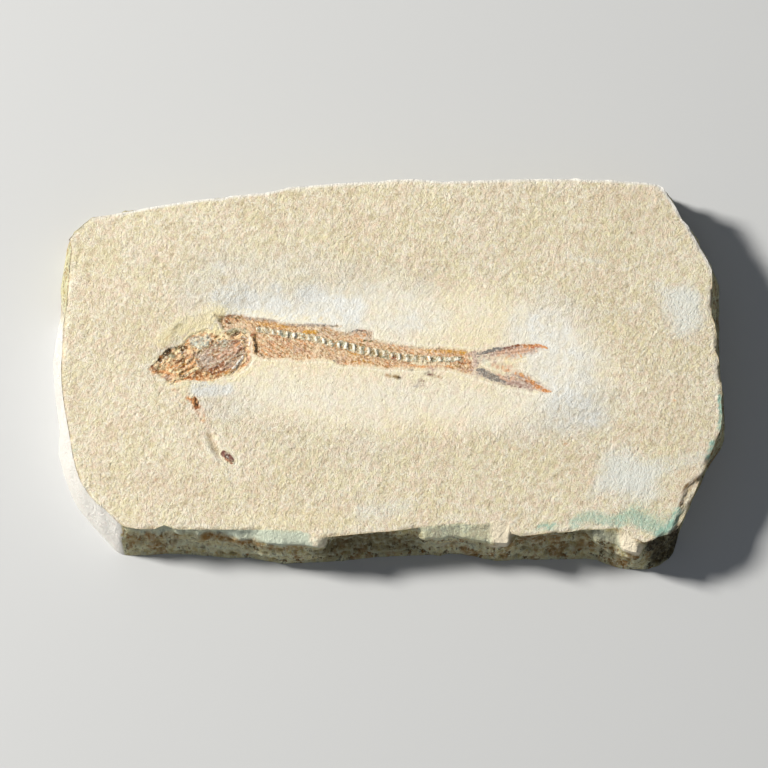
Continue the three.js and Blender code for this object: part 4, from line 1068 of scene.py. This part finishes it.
def finishWith(finish, colour, height, settings):
    finish.feed(finish.shader.inputs["Base Color"], colour)
    rough = finish.cloud(0.5, 2) * settings["roughSwing"] + (settings["rough"] - settings["roughSwing"] / 2)
    finish.feed(finish.shader.inputs["Roughness"], rough)
    sockets = {"Height": height, "Strength": settings["bump"], "Distance": settings["bumpHeight"] * mm}
    finish.feed(finish.shader.inputs["Normal"], finish.add("ShaderNodeBump", {}, sockets))
    finish.shader.inputs["Specular IOR Level"].default_value = settings["gloss"]
    return finish.material


# The slab, in mm
slab = {
    "columns": 320, "rows": 176, "layers": 30, "underEvery": 4, "closer": (0.22, 0.42), "sharp": 52,
    "chipDepth": 0.6, "chipLength": 3.4, "nickDepth": 0.28, "nickLength": 1.6,
    "ledgeDepth": 0.05, "ledgeLength": (4, 4, 0.9), "roughDepth": 0.15, "roughLength": 0.7,
    "fluteLength": 1.5, "rimWear": 0.35, "rimWidth": 0.55, "footLift": 0.12,
    "underDip": 0.1, "underInset": 0.012, "inside": 0.005,
    "rough": 0.93, "roughSwing": 0.1, "bump": 0.9, "bumpHeight": 0.26, "gloss": 0.25,
    # dark also serves as painted shade, pale as painted highlight and partly painted light, white as painted
    # highlight and painted light
    "light": (1, 0.98, 0.66), "dark": (0.09, 0.06, 0.012), "middle": (0.68, 0.57, 0.25),
    "pale": (0.80, 0.87, 0.70), "cream": (1, 0.89, 0.68), "white": (1, 0.98, 0.93),
    "rust": (0.44, 0.22, 0.05), "grain": (0.95, 0.93, 0.72), "shade": (0.014, 0.011, 0.004),
    "pink": (0.98, 0.87, 0.81),
    # Clouds of the broken face: (length in mm, detail, stretch upwards in front, shift)
    "blotch": (1.3, 4, 0.45, 2), "crumbs": (0.42, 4, 0.5, 4), "patches": (2.6, 3, 0.35, 6),
}
# Bulges of the front face: (middle x, half width, outward in mm high up, half way, low down)
frontForms = [
    (-30, 6, 0, -0.25, 0.1), (-16, 6.5, 0, 0.5, 0.15), (-5.5, 5, -0.4, -0.8, -0.3), (3, 6, 0, -0.5, -0.1),
    (10, 4.4, 0, -0.1, 0.4), (15.6, 1.5, 0.1, 0, 0), (25, 8.5, -0.2, -0.5, -0.1), (35.3, 2.4, 0.1, 0.3, 0.1),
]
# Where the front face bends: (x, share of the height, share of the way out)
frontKnee = [
    (-39, 0.6, 0.5), (-30, 0.6, 0.45), (-24, 0.7, 0.5), (-18, 0.9, 0.6), (-10.5, 0.9, 0.63),
    (-9.2, 0.9, 0.6), (-7.8, 0.6, 0.12), (-2, 0.6, 0.15), (3, 0.75, 0.4), (5, 0.87, 0.66),
    (14, 0.87, 0.68), (14.8, 0.93, 0.75), (16.9, 0.93, 0.75), (18.2, 0.6, 0.2), (27, 0.6, 0.25),
    (29.5, 0.8, 0.5), (32.4, 0.8, 0.5), (33.2, 0.9, 0.7), (35.2, 0.9, 0.7), (36.2, 0.7, 0.4), (42, 0.6, 0.35),
]
# Where the top of the front is a clean flat facet: (x, share)
facets = [
    (-19, 0), (-17, 1), (-10, 1), (-8.5, 0), (4.5, 0), (6, 1), (16.9, 1), (18.2, 0), (29, 0), (30, 0.7),
    (36.8, 1), (38, 0),
]


def alongEdge(edge, shares):              # points at shares of an edge's length
    edge = np.array(edge, float)
    reached = np.concatenate([[0], np.cumsum(np.hypot(*np.diff(edge, axis=0).T))])
    return np.stack([np.interp(shares * reached[-1], reached, edge[:, k]) for k in (0, 1)], axis=1)


def rimPatch(rim, u, v):                  # an outline filled by blending its four edges
    u, v = np.asarray(u, float), np.asarray(v, float)
    up, over = v[:, None], u[:, None]
    across = alongEdge(rim["south"], u) * (1 - up) + alongEdge(rim["north"], u) * up
    along = alongEdge(rim["west"], v) * (1 - over) + alongEdge(rim["east"], v) * over
    corners = (
        np.outer((1 - u) * (1 - v), rim["south"][0]) + np.outer(u * (1 - v), rim["south"][-1])
        + np.outer((1 - u) * v, rim["north"][0]) + np.outer(u * v, rim["north"][-1])
    )
    return across + along - corners


def gridShares(columns, rows, inset=0):   # how far east and north each grid point lies, closer in the middle
    counts = (columns, rows)
    found = []
    for step, count, closer in zip(np.indices((columns + 1, rows + 1)), counts, slab["closer"]):
        share = step.ravel() / count
        found.append(inset + (1 - 2 * inset) * (share + closer * np.sin(2 * np.pi * share) / (2 * np.pi)))
    return found


def ringOf(columns, rows):                # the rim of a grid, counter-clockwise from its first corner
    south = [(i, 0) for i in range(columns)]
    east = [(columns, j) for j in range(rows)]
    north = [(i, rows) for i in range(columns, 0, -1)]
    west = [(0, j) for j in range(rows, 0, -1)]
    return np.array(south + east + north + west)


def gridFaces(index, up):                 # quads of a grid of vertex numbers
    a, b, c, d = index[:-1, :-1], index[1:, :-1], index[1:, 1:], index[:-1, 1:]
    order = (a, b, c, d) if up else (a, d, c, b)
    return np.stack([corner.ravel() for corner in order], axis=1).tolist()


def evened(line, reach):                  # a closed line averaged over that many points each way
    around = np.concatenate([line[-reach:], line, line[:reach]])
    window = np.ones(2 * reach + 1) / (2 * reach + 1)
    return np.stack([np.convolve(around[:, k], window, "valid") for k in (0, 1)], axis=1)


def belowLamina(points):                  # 1 where the thin top layer has broken away
    away = insideBy(laminaEdge, points) + grit(flat(*points.T), (0.12, 0.7, 61))
    return smooth(away, -0.05, 0.2)


def slabTop(points, rimAway, shape):
    ground = flat(*points.T)
    amounts, rise = paintFrom(topStrokes, points)
    inside = depths(points)
    height = faceHeight(points, inside, rise)
    bare = np.prod([1 - smooth(depth, -0.26, 0.04) for depth in inside.values()], axis=0)
    height -= stone["seatDrop"] * (1 - bare)
    height -= stone["laminaDepth"] * belowLamina(points)
    chip = np.clip(grit(ground, (1, 2.2, 62), (0.3, 0.8, 63)) + 0.15, 0, 1)
    crisp = between(facets, points[:, 0]) * smooth(-points[:, 1], 18, 22)
    wear = (0.2 + chip) * (1 - smooth(rimAway, 0, slab["rimWidth"] * (0.5 + chip))) ** 2
    height -= slab["rimWear"] * wear * (1 - 0.85 * crisp)
    recess = recessed(height.reshape(shape), np.ones(shape, bool), 2).ravel()
    # low and high here place painted shade in the top's hollows and painted highlight on its crests
    return height, amounts | hollowShadeAndCrestHighlight(recess, 0.06) | {"prepared": prepared(ground)}


def sideBulge(middle, height):            # how far the broken side stands out, all round at one height share
    tall = height * stone["thickness"]
    point = np.column_stack([middle, np.full(len(middle), tall)])
    x, front = middle[:, 0], smooth(-middle[:, 1], 21.5, 23.5)
    bulge = np.zeros(len(middle))
    for centre, half, high, halfWay, low in frontForms:
        share = np.cos(np.clip(np.abs(x - centre) / half, 0, 1) * np.pi / 2) ** 2
        bulge += share * np.interp(height, (0, 0.15, 0.45, 0.8, 1), (0, low, halfWay, high, 0)) * front
    amount = 1 - 0.88 * smooth(-x - 0.35 * middle[:, 1], 44, 47.5)
    amount *= 1 - 0.93 * between(facets, x) * front * smooth(height, 0.6, 0.8)
    stretched = point / (1, 1, 0.8)
    bulge -= amount * slab["chipDepth"] * (scoops(stretched, slab["chipLength"], 1) - 0.45)
    bulge -= amount * slab["nickDepth"] * (scoops(stretched, slab["nickLength"], 2) - 0.45)
    bulge += amount * slab["ledgeDepth"] * noise(point, np.array(slab["ledgeLength"]), 64)
    upright = point / np.column_stack([np.ones((len(middle), 2)), 0.7 + 1.5 * front])
    flutes = 0.5 - 1.6 * np.abs(noise(upright, slab["fluteLength"], 66))
    rough = 0.8 * noise(upright, slab["roughLength"], 65) + flutes
    bulge += (0.03 + 0.97 * amount) * slab["roughDepth"] * rough
    return bulge * smooth(height, 1, 0.93) * (0.25 + 0.75 * smooth(height, 0, 0.12))


def slabSides(rimTop, rimBase, rimHeight):    # rings of points from the rim down, and their hollows
    middle = (rimTop + rimBase) / 2
    tangent = evened(middle, 12)
    tangent = np.roll(tangent, -3, axis=0) - np.roll(tangent, 3, axis=0)
    outward = np.stack([tangent[:, 1], -tangent[:, 0]], axis=1)
    outward /= np.linalg.norm(outward, axis=1)[:, None]
    evenTop = evened(rimTop, 4)
    shares = np.arange(slab["layers"] - 1, -1, -1) / slab["layers"]
    bulges = np.array([sideBulge(middle, share) for share in shares])
    x, kneeHigh, kneeOut = np.transpose(frontKnee)
    front = smooth(-middle[:, 1], 18, 22)
    ragged = 0.12 * noise(flat(*middle.T), 2.4, 67) * (1 - 0.85 * between(facets, middle[:, 0]) * front)
    high = np.interp(middle[:, 0], x, kneeHigh) * front + 0.6 * (1 - front) + ragged * 0.5
    out = np.interp(middle[:, 0], x, kneeOut) * front + 0.4 * (1 - front) + ragged
    rings = []
    for share, bulge in zip(shares, bulges):
        upper = evenTop + (rimTop - evenTop) * smooth(share, 0.88, 1)
        moved = np.where(share > high, out * (1 - share) / (1 - high), 1 - (1 - out) * share / high)
        line = upper + (rimBase - upper) * moved[:, None] + outward * bulge[:, None]
        rings.append(np.column_stack([line, share * rimHeight]))
    rings[-1][:, 2] = slab["footLift"] * np.clip(noise(flat(*middle.T), 1.6, 68), 0, 1)
    return np.concatenate(rings), recessed(bulges, np.ones(bulges.shape, bool), 2).ravel()


def slabUnder(foot, first):               # points and faces of the underside, within the lowest ring
    every, inset = slab["underEvery"], slab["underInset"]
    columns, rows = slab["columns"] // every, slab["rows"] // every
    under = rimPatch(baseRim, *gridShares(columns, rows, inset))
    dip = np.clip(0.5 + grit(flat(*under.T), (1, 5, 69), (0.5, 1.8, 70)), 0, 2)
    index = first + np.arange(len(under)).reshape(columns + 1, rows + 1)
    faces = gridFaces(index, False)
    inner = [index[tuple(spot)] for spot in ringOf(columns, rows)]
    for n, apex in enumerate(inner):
        outer = [foot[(every * n + k) % len(foot)] for k in range(every + 1)]
        faces += [[apex, outer[k + 1], outer[k]] for k in range(every)]
        faces.append([apex, inner[(n + 1) % len(inner)], outer[every]])
    return np.column_stack([under, slab["underDip"] * dip]), faces


def makeSlab():
    columns, rows = slab["columns"], slab["rows"]
    u, v = gridShares(columns, rows)
    top = rimPatch(topRim, u, v)
    ring = ringOf(columns, rows)
    ring = ring[:, 0] * (rows + 1) + ring[:, 1]
    rimAway = awayFrom(np.concatenate([top[ring], top[ring[:1]]])[::4], top)
    height, amounts = slabTop(top, rimAway, (columns + 1, rows + 1))
    sides, sunk = slabSides(top[ring], rimPatch(baseRim, u[ring], v[ring]), height[ring])
    belts = np.vstack([ring, len(top) + np.arange(len(sides)).reshape(-1, len(ring))])
    under, underFaces = slabUnder(belts[-1], len(top) + len(sides))
    faces = gridFaces(np.arange(len(top)).reshape(columns + 1, rows + 1), True)
    faces += gridFaces(np.column_stack([belts, belts[:, 0]])[::-1], False) + underFaces
    low, high = np.array(cadLow) / mm + slab["inside"], np.array(cadHigh) / mm - slab["inside"]
    low[2] = 0
    places = np.clip(np.concatenate([np.column_stack([top, height]), sides, under]), low, high)

    rest = len(places) - len(top)
    # painted highlight: a white line along the north rim of the top, where the rim catches the key lamp
    paintedRimHighlight = (1 - smooth(rimAway, 0.1, 0.5)) * smooth(top[:, 1] + 0.1 * top[:, 0], 16, 19)
    layers = {label: np.append(amount, np.zeros(rest)) for label, amount in amounts.items()}
    layers["paintedRimHighlight"] = np.append(paintedRimHighlight, np.zeros(rest))
    layers["side"] = np.append(0.5 * (1 - smooth(rimAway, 0, 0.5)), np.ones(rest))
    layers["face"] = np.repeat([0.0, 1.0, 0.0], [len(top), len(sides), len(under)])
    # low and high here place painted shade in the side's hollows and painted highlight on its raised grains
    for label, amount in hollowShadeAndCrestHighlight(sunk, 0.14).items():
        layers[label][len(top):len(top) + len(sides)] = amount
    front = smooth(-places[:, 1], 22.5, 24) * (places[:, 0] > -38)
    layers["frontFace"] = front
    for label, amount in paintFrom(strokesOf(faceStrokes), places[:, [0, 2]])[0].items():
        layers[label] = amount * front
    # painted light: the west side, which faces the key lamp, is marked to be painted white and pink
    layers["westFace"] = smooth(-places[:, 0] * 0.94 - places[:, 1] * 0.34, 40.5, 43) * (1 - front)
    piece = makePiece("limestone_slab_finish", places, faces, layers)
    piece.data.set_sharp_from_angle(angle=math.radians(slab["sharp"]))
    return piece


def brokenCloud(finish, length, detail, tall, shift):
    ahead = finish.layer("frontFace")     # drawn out upwards in front, along the bedding elsewhere
    front = finish.cloud(length, detail, 0.7, (1, 1, tall), 10, shift)
    elsewhere = finish.cloud(length, detail, 0.7, (1, 1, 1.7), 10, shift)
    return front * ahead + elsewhere * (1 - ahead)


def slabFinish():
    finish = Finish("limestone")
    colour, height = limeColour(finish)
    blotch, crumbs, patches = (brokenCloud(finish, *slab[label]) for label in ("blotch", "crumbs", "patches"))
    dabs = crumbs * 0.9 + 0.45
    # dark is painted shade, pale partly painted light
    painted = {                           # how thick each listed tone of the face lies
        "dark": dabs * 0.8, "rust": crumbs * 4 - 1.2, "shade": dabs, "pale": dabs + 0.15, "cream": dabs + 0.3,
    }
    side = {label: finish.layer(label + "Face") for label in (*painted, "west")}
    # painted light: the west side is painted white with pink, lighter than the rest of the broken face
    west = finish.mixed((blotch * 0.6 + crumbs * 0.4).over(0.5, 0.62) * 0.6, slab["white"], slab["pink"])
    face = finish.coated(
        slab["middle"],
        ((blotch * 0.5 + crumbs * 0.5).over(0.45, 0.53), slab["light"]),
        ((blotch * 0.65 + crumbs * 0.35).over(0.51, 0.6) * 0.95, slab["dark"]),
        ((patches + crumbs * 0.4).over(0.7, 0.8) * 0.7, slab["rust"]),
        (crumbs.over(0.55, 0.66) * 0.6, slab["rust"]),
        (crumbs.under(0.35, 0.46) * 0.8, slab["grain"]),
        *[((side[label] * thick).clamped(), slab[label]) for label, thick in painted.items()],
        ((side["west"] * (dabs + 0.1)).clamped(), west),
    )
    # painted highlight: the north rim is painted white
    paintedRimHighlight = finish.layer("paintedRimHighlight")
    edge = (finish.layer("side") + (crumbs - 0.5) * 0.5).over(0.35, 0.65) * (1 - paintedRimHighlight)
    colour = finish.coated(colour, (paintedRimHighlight, slab["white"]), (edge, face))
    colour = stained(finish, colour, 0.8, 0.08, 1.1)
    front = finish.layer("face") * (1 - side["west"])
    # lit is 0 on the cream and pale facets, where painted shade is kept out of the hollows
    lit = (1 - side["cream"]) * (1 - side["pale"] * 0.7)
    unshaded = (1 - side["shade"]).clamped()
    # painted shade in the front's hollows and painted highlight on its raised grains
    colour = finish.coated(
        colour,
        (finish.layer("low") * front * lit * 0.6, slab["dark"]),
        (finish.layer("high") * front * unshaded * 0.45, slab["pale"]),
    )
    return finishWith(finish, colour, height + edge * crumbs * (lit * 2.4 + 0.6), slab)


# The fish's pieces: each a fine sheet over its own area, closed down to the bed of its solid
# each piece's hollow colour also serves as painted shade in its hollows, its crest colour as painted
# highlight on its crests
fish = {
    "trunk": {
        "step": 0.085, "film": 1, "soft": 0.4, "tint": (0.72, 0.42, 0.26), "second": (0.75, 0.54, 0.31),
        "hollow": (0.32, 0.155, 0.05), "crest": (0.91, 0.78, 0.57), "patch": 0.8, "turn": -35,
        "flecks": {
            "mauve": 0.09, "orange": 0.06, "yellowPale": 0.06, "tan": 0.06, "ochre": 0.04, "rust": 0.03,
            "olive": 0.02,
        },
        "slot": "flank_film", "rough": 0.8, "roughSwing": 0.25, "gloss": 0.3,
    },
    "dorsal_fin": {
        "step": 0.07, "film": 0.9, "soft": 0.45, "tint": (0.58, 0.36, 0.24), "second": (0.50, 0.38, 0.26),
        "hollow": (0.26, 0.16, 0.09), "crest": (0.80, 0.66, 0.50), "patch": 0.5, "turn": -50,
        "flecks": {"orange": 0.06, "slate": 0.05},
        "slot": "fin_film", "rough": 0.75, "roughSwing": 0.25, "gloss": 0.3,
    },
    "tail_fin": {
        "step": 0.07, "film": 0.85, "soft": 0.7, "tint": (0.64, 0.45, 0.35), "second": (0.52, 0.42, 0.36),
        "hollow": (0.32, 0.21, 0.15), "crest": (0.84, 0.76, 0.64), "patch": 0.6, "turn": -8, "broken": 0.6,
        "flecks": {"mauve": 0.08, "slate": 0.04, "yellowPale": 0.06},
        "slot": "fin_film", "rough": 0.75, "roughSwing": 0.25, "gloss": 0.3,
    },
    "skull": {
        "step": 0.07, "film": 1, "soft": 0.3, "tint": (0.88, 0.53, 0.28), "second": (0.80, 0.62, 0.36),
        "hollow": (0.22, 0.085, 0.012), "crest": (0.93, 0.76, 0.48), "patch": 0.8, "turn": 33,
        "flecks": {"deepOrange": 0.1, "yellow": 0.06, "rust": 0.07, "olive": 0.06, "pale": 0.02},
        "slot": "head_bone", "rough": 0.62, "roughSwing": 0.3, "gloss": 0.4,
    },
    "gill_cover": {
        "step": 0.06, "film": 1, "soft": 0.3, "tint": (0.40, 0.28, 0.18), "second": (0.45, 0.36, 0.23),
        "hollow": (0.22, 0.08, 0.02), "crest": (0.86, 0.74, 0.60), "patch": 0.9, "turn": 33,
        "flecks": {"pink": 0.08, "orange": 0.06, "rust": 0.06, "greyGreen": 0.06, "mauve": 0.05},
        "slot": "gill_plate", "rough": 0.55, "roughSwing": 0.25, "gloss": 0.45,
    },
    "shoulder_bone": {
        "step": 0.04, "film": 0.9, "soft": 0.2, "tint": (0.30, 0.13, 0.025), "second": (0.42, 0.23, 0.075),
        "hollow": (0.05, 0.025, 0.01), "crest": (0.50, 0.36, 0.22), "patch": 0.5,
        "slot": "dark_bone", "rough": 0.6, "roughSwing": 0.2, "gloss": 0.4,
    },
    "backbone": {
        "step": 0.05, "film": 0.95, "soft": 0.3, "tint": (0.70, 0.64, 0.46), "second": (0.62, 0.45, 0.26),
        "hollow": (0.24, 0.17, 0.08), "crest": (0.90, 0.86, 0.74), "patch": 0.6, "turn": 60,
        "bead": (0.92, 0.90, 0.80), "gap": (0.26, 0.17, 0.055),
        "flecks": {"ochre": 0.06, "olive": 0.05, "greyGreen": 0.09, "orange": 0.03},
        "slot": "pale_bone", "rough": 0.65, "roughSwing": 0.25, "gloss": 0.35,
    },
    "bone_scrap_upper": {
        "step": 0.04, "film": 0.95, "soft": 0.25, "tint": (0.46, 0.18, 0.045), "second": (0.58, 0.29, 0.09),
        "hollow": (0.05, 0.018, 0.004), "crest": (0.66, 0.37, 0.15), "patch": 0.3, "turn": 60,
        "flecks": {"redOrange": 0.08, "rust": 0.1, "dark": 0.04},
        "slot": "crumb", "rough": 0.7, "roughSwing": 0.2, "gloss": 0.35,
    },
    "bone_scrap_lower": {
        "step": 0.04, "film": 0.95, "soft": 0.25, "tint": (0.27, 0.15, 0.11), "second": (0.36, 0.22, 0.14),
        "hollow": (0.05, 0.025, 0.02), "crest": (0.50, 0.36, 0.26), "patch": 0.3, "turn": -40,
        "flecks": {"plum": 0.1, "dark": 0.05, "ochre": 0.05},
        "slot": "crumb", "rough": 0.7, "roughSwing": 0.2, "gloss": 0.35,
    },
}


def sheetCells(name, step):               # the cells of a square grid that an outline and its collar take up
    reach = stone["collar"] + 0.25
    outline = np.array(outlines[name])
    low, high = outline.min(axis=0) - reach, outline.max(axis=0) + reach
    counts = np.ceil((high - low) / step).astype(int)
    middles = (np.indices(counts).reshape(2, -1).T + 0.5) * step + low
    kept = (insideBy(outline, middles) > -reach + 0.1).reshape(counts)
    lone = kept[:-1, :-1] & kept[1:, 1:] & ~kept[1:, :-1] & ~kept[:-1, 1:]
    kept[1:, :-1] |= lone
    lone = kept[1:, :-1] & kept[:-1, 1:] & ~kept[:-1, :-1] & ~kept[1:, 1:]
    kept[1:, 1:] |= lone
    return low, kept


def closedSheet(kept):                    # vertex numbers and faces: a top, a flat underside and walls
    columns, rows = kept.shape
    used = np.zeros((columns + 1, rows + 1), bool)
    for di, dj in itertools.product((0, 1), repeat=2):
        used[di:columns + di, dj:rows + dj] |= kept
    number = np.full(used.shape, -1)
    number[used] = np.arange(used.sum())
    count = int(used.sum())
    i, j = np.nonzero(kept)
    a, b, c, d = number[i, j], number[i + 1, j], number[i + 1, j + 1], number[i, j + 1]
    quads = [np.stack([a, b, c, d], axis=1), np.stack([a, d, c, b], axis=1) + count]
    padded = np.pad(kept, 1)
    for di, dj, first, second in ((0, -1, a, b), (1, 0, b, c), (0, 1, c, d), (-1, 0, d, a)):
        edge = ~padded[i + 1 + di, j + 1 + dj]
        start, end = first[edge], second[edge]
        quads.append(np.stack([end, start, start + count, end + count], axis=1))
    return used, count, np.concatenate(quads).tolist()


# How a fish piece's sheet lies on the stone, in mm
seating = {
    "lift": 0.012, "stackLift": 0.003, "coveredDrop": 0.3, "collarDrop": 0.05, "edgeDrop": 0.35,
    "rag": [(0.16, 0.6, 73), (0.1, 0.25, 75)],
}


def makeFishPiece(name):
    step, soft = fish[name]["step"], fish[name]["soft"]
    low, kept = sheetCells(name, step)
    used, count, faces = closedSheet(kept)
    points = np.stack(np.nonzero(used), axis=1) * step + low
    ground = flat(*points.T)
    amounts, rise = paintFrom(topStrokes, points)
    inside = depths(points)
    height = faceHeight(points, inside, rise)
    covered = np.zeros(len(points))
    for other in surfaces:
        if other == name:
            covered *= 1 - smooth(inside[other], -0.16, -0.08)
        else:
            covered += (1 - covered) * smooth(inside[other], 0.0, 0.08)
    beyond = -insideBy(outlines[name], points)
    drop = seating["coveredDrop"] * covered
    drop += seating["collarDrop"] * smooth(beyond, 0.22, 0.46)
    drop += seating["edgeDrop"] * smooth(beyond, 0.52, 0.63)
    lift = seating["lift"] + seating["stackLift"] * list(surfaces).index(name)
    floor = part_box(name)[0].z / mm
    top = np.clip(height + lift - drop, floor + 0.05, cadHigh.z / mm - 0.005)
    places = np.concatenate([np.column_stack([points, z]) for z in (top, np.full(count, floor))])

    joined = np.max(list(inside.values()), axis=0) + grit(ground, *seating["rag"])
    amounts["film"] = smooth(joined, -soft * 0.6, soft)
    if name == "trunk":
        amounts["film"] *= between(flank["film"], points[:, 0])
    if name == "backbone":
        amounts |= spineAmounts(ground)
    amounts["prepared"] = prepared(ground)
    grid = np.zeros(used.shape)
    grid[used] = height
    recess = recessed(grid, used, max(3, round(0.35 / step)))[used]
    # low and high here place painted shade in the piece's hollows and painted highlight on its crests
    amounts |= hollowShadeAndCrestHighlight(recess * smooth(inside[name], 0.15, 0.7), 0.08)
    layers = {label: np.tile(amount, 2) for label, amount in amounts.items()}
    piece = makePiece(name + "_finish", places, faces, layers)
    piece.data.materials.append(fishFinish(name))
    return piece


def fishFinish(name):
    settings = fish[name]
    finish = Finish(name)
    bare, grain = limeColour(finish)
    patch = finish.cloud(settings["patch"], 3, 0.6)
    fibre = finish.cloud(0.35, 3, 0.6, (1, 0.7, 1))
    tint = finish.mixed((patch * 0.7 + fibre * 0.3).over(0.4, 0.6), settings["tint"], settings["second"])
    film = finish.layer("film")
    colour = finish.mixed((film * settings["film"] * (patch * 0.6 + 0.7)).clamped(), bare, tint)
    if name == "backbone":
        # pale vertebra rims and dark gaps: partly the bone's own colour, partly painted highlight and painted
        # shade
        bead = (finish.layer("bead") + finish.cloud(0.25, 2) - 0.5).over(0.2, 0.9)
        gap = (finish.layer("gap") + finish.cloud(0.3, 2) - 0.5).over(0.12, 1)
        colour = finish.coated(colour, (bead, settings["bead"]), (gap, settings["gap"]))
    for label, share in settings.get("flecks", {}).items():
        fleck = finish.cloud(0.4, 3, 0.65, (0.45, 1, 1), settings["turn"], len(label))
        colour = finish.mixed(film * fleck.over(0.62 - share, 0.7 - share), colour, pigments[label])
    colour = stained(finish, colour, settings.get("broken", 1), 0.14, 0.95, 0.45, settings.get("turn", 0))
    grains = finish.cloud(0.26, 3, 0.7)
    colour = finish.coated(
        colour,
        (film * grains.over(0.53, 0.64) * 0.75, settings["hollow"]),
        (film * grains.under(0.36, 0.47) * 0.75, settings["crest"]),
        # painted shade in the hollows and painted highlight on the crests
        (film * finish.layer("low") * 0.75, settings["hollow"]),
        (film * finish.layer("high") * 0.45, settings["crest"]),
    )
    height = grain * (1 - film * 0.6) + film * (fibre * 0.3 + finish.cloud(0.12, 2, 0.6) * 0.35)
    return finishWith(finish, colour, height, settings | {key: slab[key] for key in ("bump", "bumpHeight")})


def standIn(piece, solid):          # rides on the body instead of its solid
    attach(piece, "root")
    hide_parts(solid)
    print(solid + ":", len(piece.data.polygons), "faces")


slabPiece = makeSlab()
slabPiece.data.materials.append(slabFinish())
standIn(slabPiece, "limestone_slab")
for name in surfaces:
    standIn(makeFishPiece(name), name)

# Floor, light and camera
studio = {
    "floor": (0.56, 0.57, 0.58), "floorSize": 3.0, "floorRough": 0.9,
    "keyDirection": (-0.96, 0.28), "keyElevation": 38, "keyDistance": 1.1, "keySize": 0.17, "keyPower": 19.9,
    "keyColour": (1, 0.97, 0.91), "fillPlace": (0.25, -0.45, 0.75), "fillColour": (0.92, 0.96, 1),
    "fillPower": 0.45, "fillSize": 0.7, "sky": (0.80, 0.86, 0.95), "skyStrength": 0.13,
    "target": (-0.7, -3.4, 9.5), "elevation": 76, "distance": 550, "lens": 180.47, "sensor": 36,
    "nearest": 0.01, "farthest": 20,
}


def areaLight(name, spot, size, power, colour):
    data = bpy.data.lights.new(name, "AREA")
    data.size, data.energy, data.color = size, power, colour
    light = bpy.data.objects.new(name, data)
    light.location = spot
    light.rotation_euler = (-Vector(spot)).to_track_quat("-Z", "Y").to_euler()
    bpy.context.scene.collection.objects.link(light)


def makeStudio():
    size = studio["floorSize"]
    mesh = bpy.data.meshes.new("floor")
    corners = [(-size, -size, 0), (size, -size, 0), (size, size, 0), (-size, size, 0)]
    mesh.from_pydata(corners, [], [(0, 1, 2, 3)])
    floor = bpy.data.objects.new("floor", mesh)
    bpy.context.scene.collection.objects.link(floor)
    finish = Finish("studio_floor")
    finish.shader.inputs["Base Color"].default_value = (*studio["floor"], 1)
    finish.shader.inputs["Roughness"].default_value = studio["floorRough"]
    mesh.materials.append(finish.material)

    east, north = studio["keyDirection"]
    rise = math.radians(studio["keyElevation"])
    key = Vector((east * math.cos(rise), north * math.cos(rise), math.sin(rise))).normalized()
    spots = {"key": key * studio["keyDistance"], "fill": studio["fillPlace"]}
    for light, spot in spots.items():
        areaLight(light, spot, studio[light + "Size"], studio[light + "Power"], studio[light + "Colour"])
    world = bpy.data.worlds.new("studio")
    world.use_nodes = True
    sky = world.node_tree.nodes["Background"]
    sky.inputs["Color"].default_value = (*studio["sky"], 1)
    sky.inputs["Strength"].default_value = studio["skyStrength"]
    bpy.context.scene.world = world
    bpy.context.scene.view_settings.view_transform = "Standard"


def makeCamera():
    tilt = math.radians(studio["elevation"])
    back = Vector((0, -math.cos(tilt), math.sin(tilt)))
    data = bpy.data.cameras.new("camera")
    data.lens, data.sensor_width = studio["lens"], studio["sensor"]
    data.clip_start, data.clip_end = studio["nearest"], studio["farthest"]
    camera = bpy.data.objects.new("camera", data)
    camera.location = (Vector(studio["target"]) + back * studio["distance"]) * mm
    camera.rotation_euler = (-back).to_track_quat("-Z", "Y").to_euler()
    bpy.context.scene.collection.objects.link(camera)
    bpy.context.scene.camera = camera


makeStudio()
makeCamera()
print("studio and camera made")
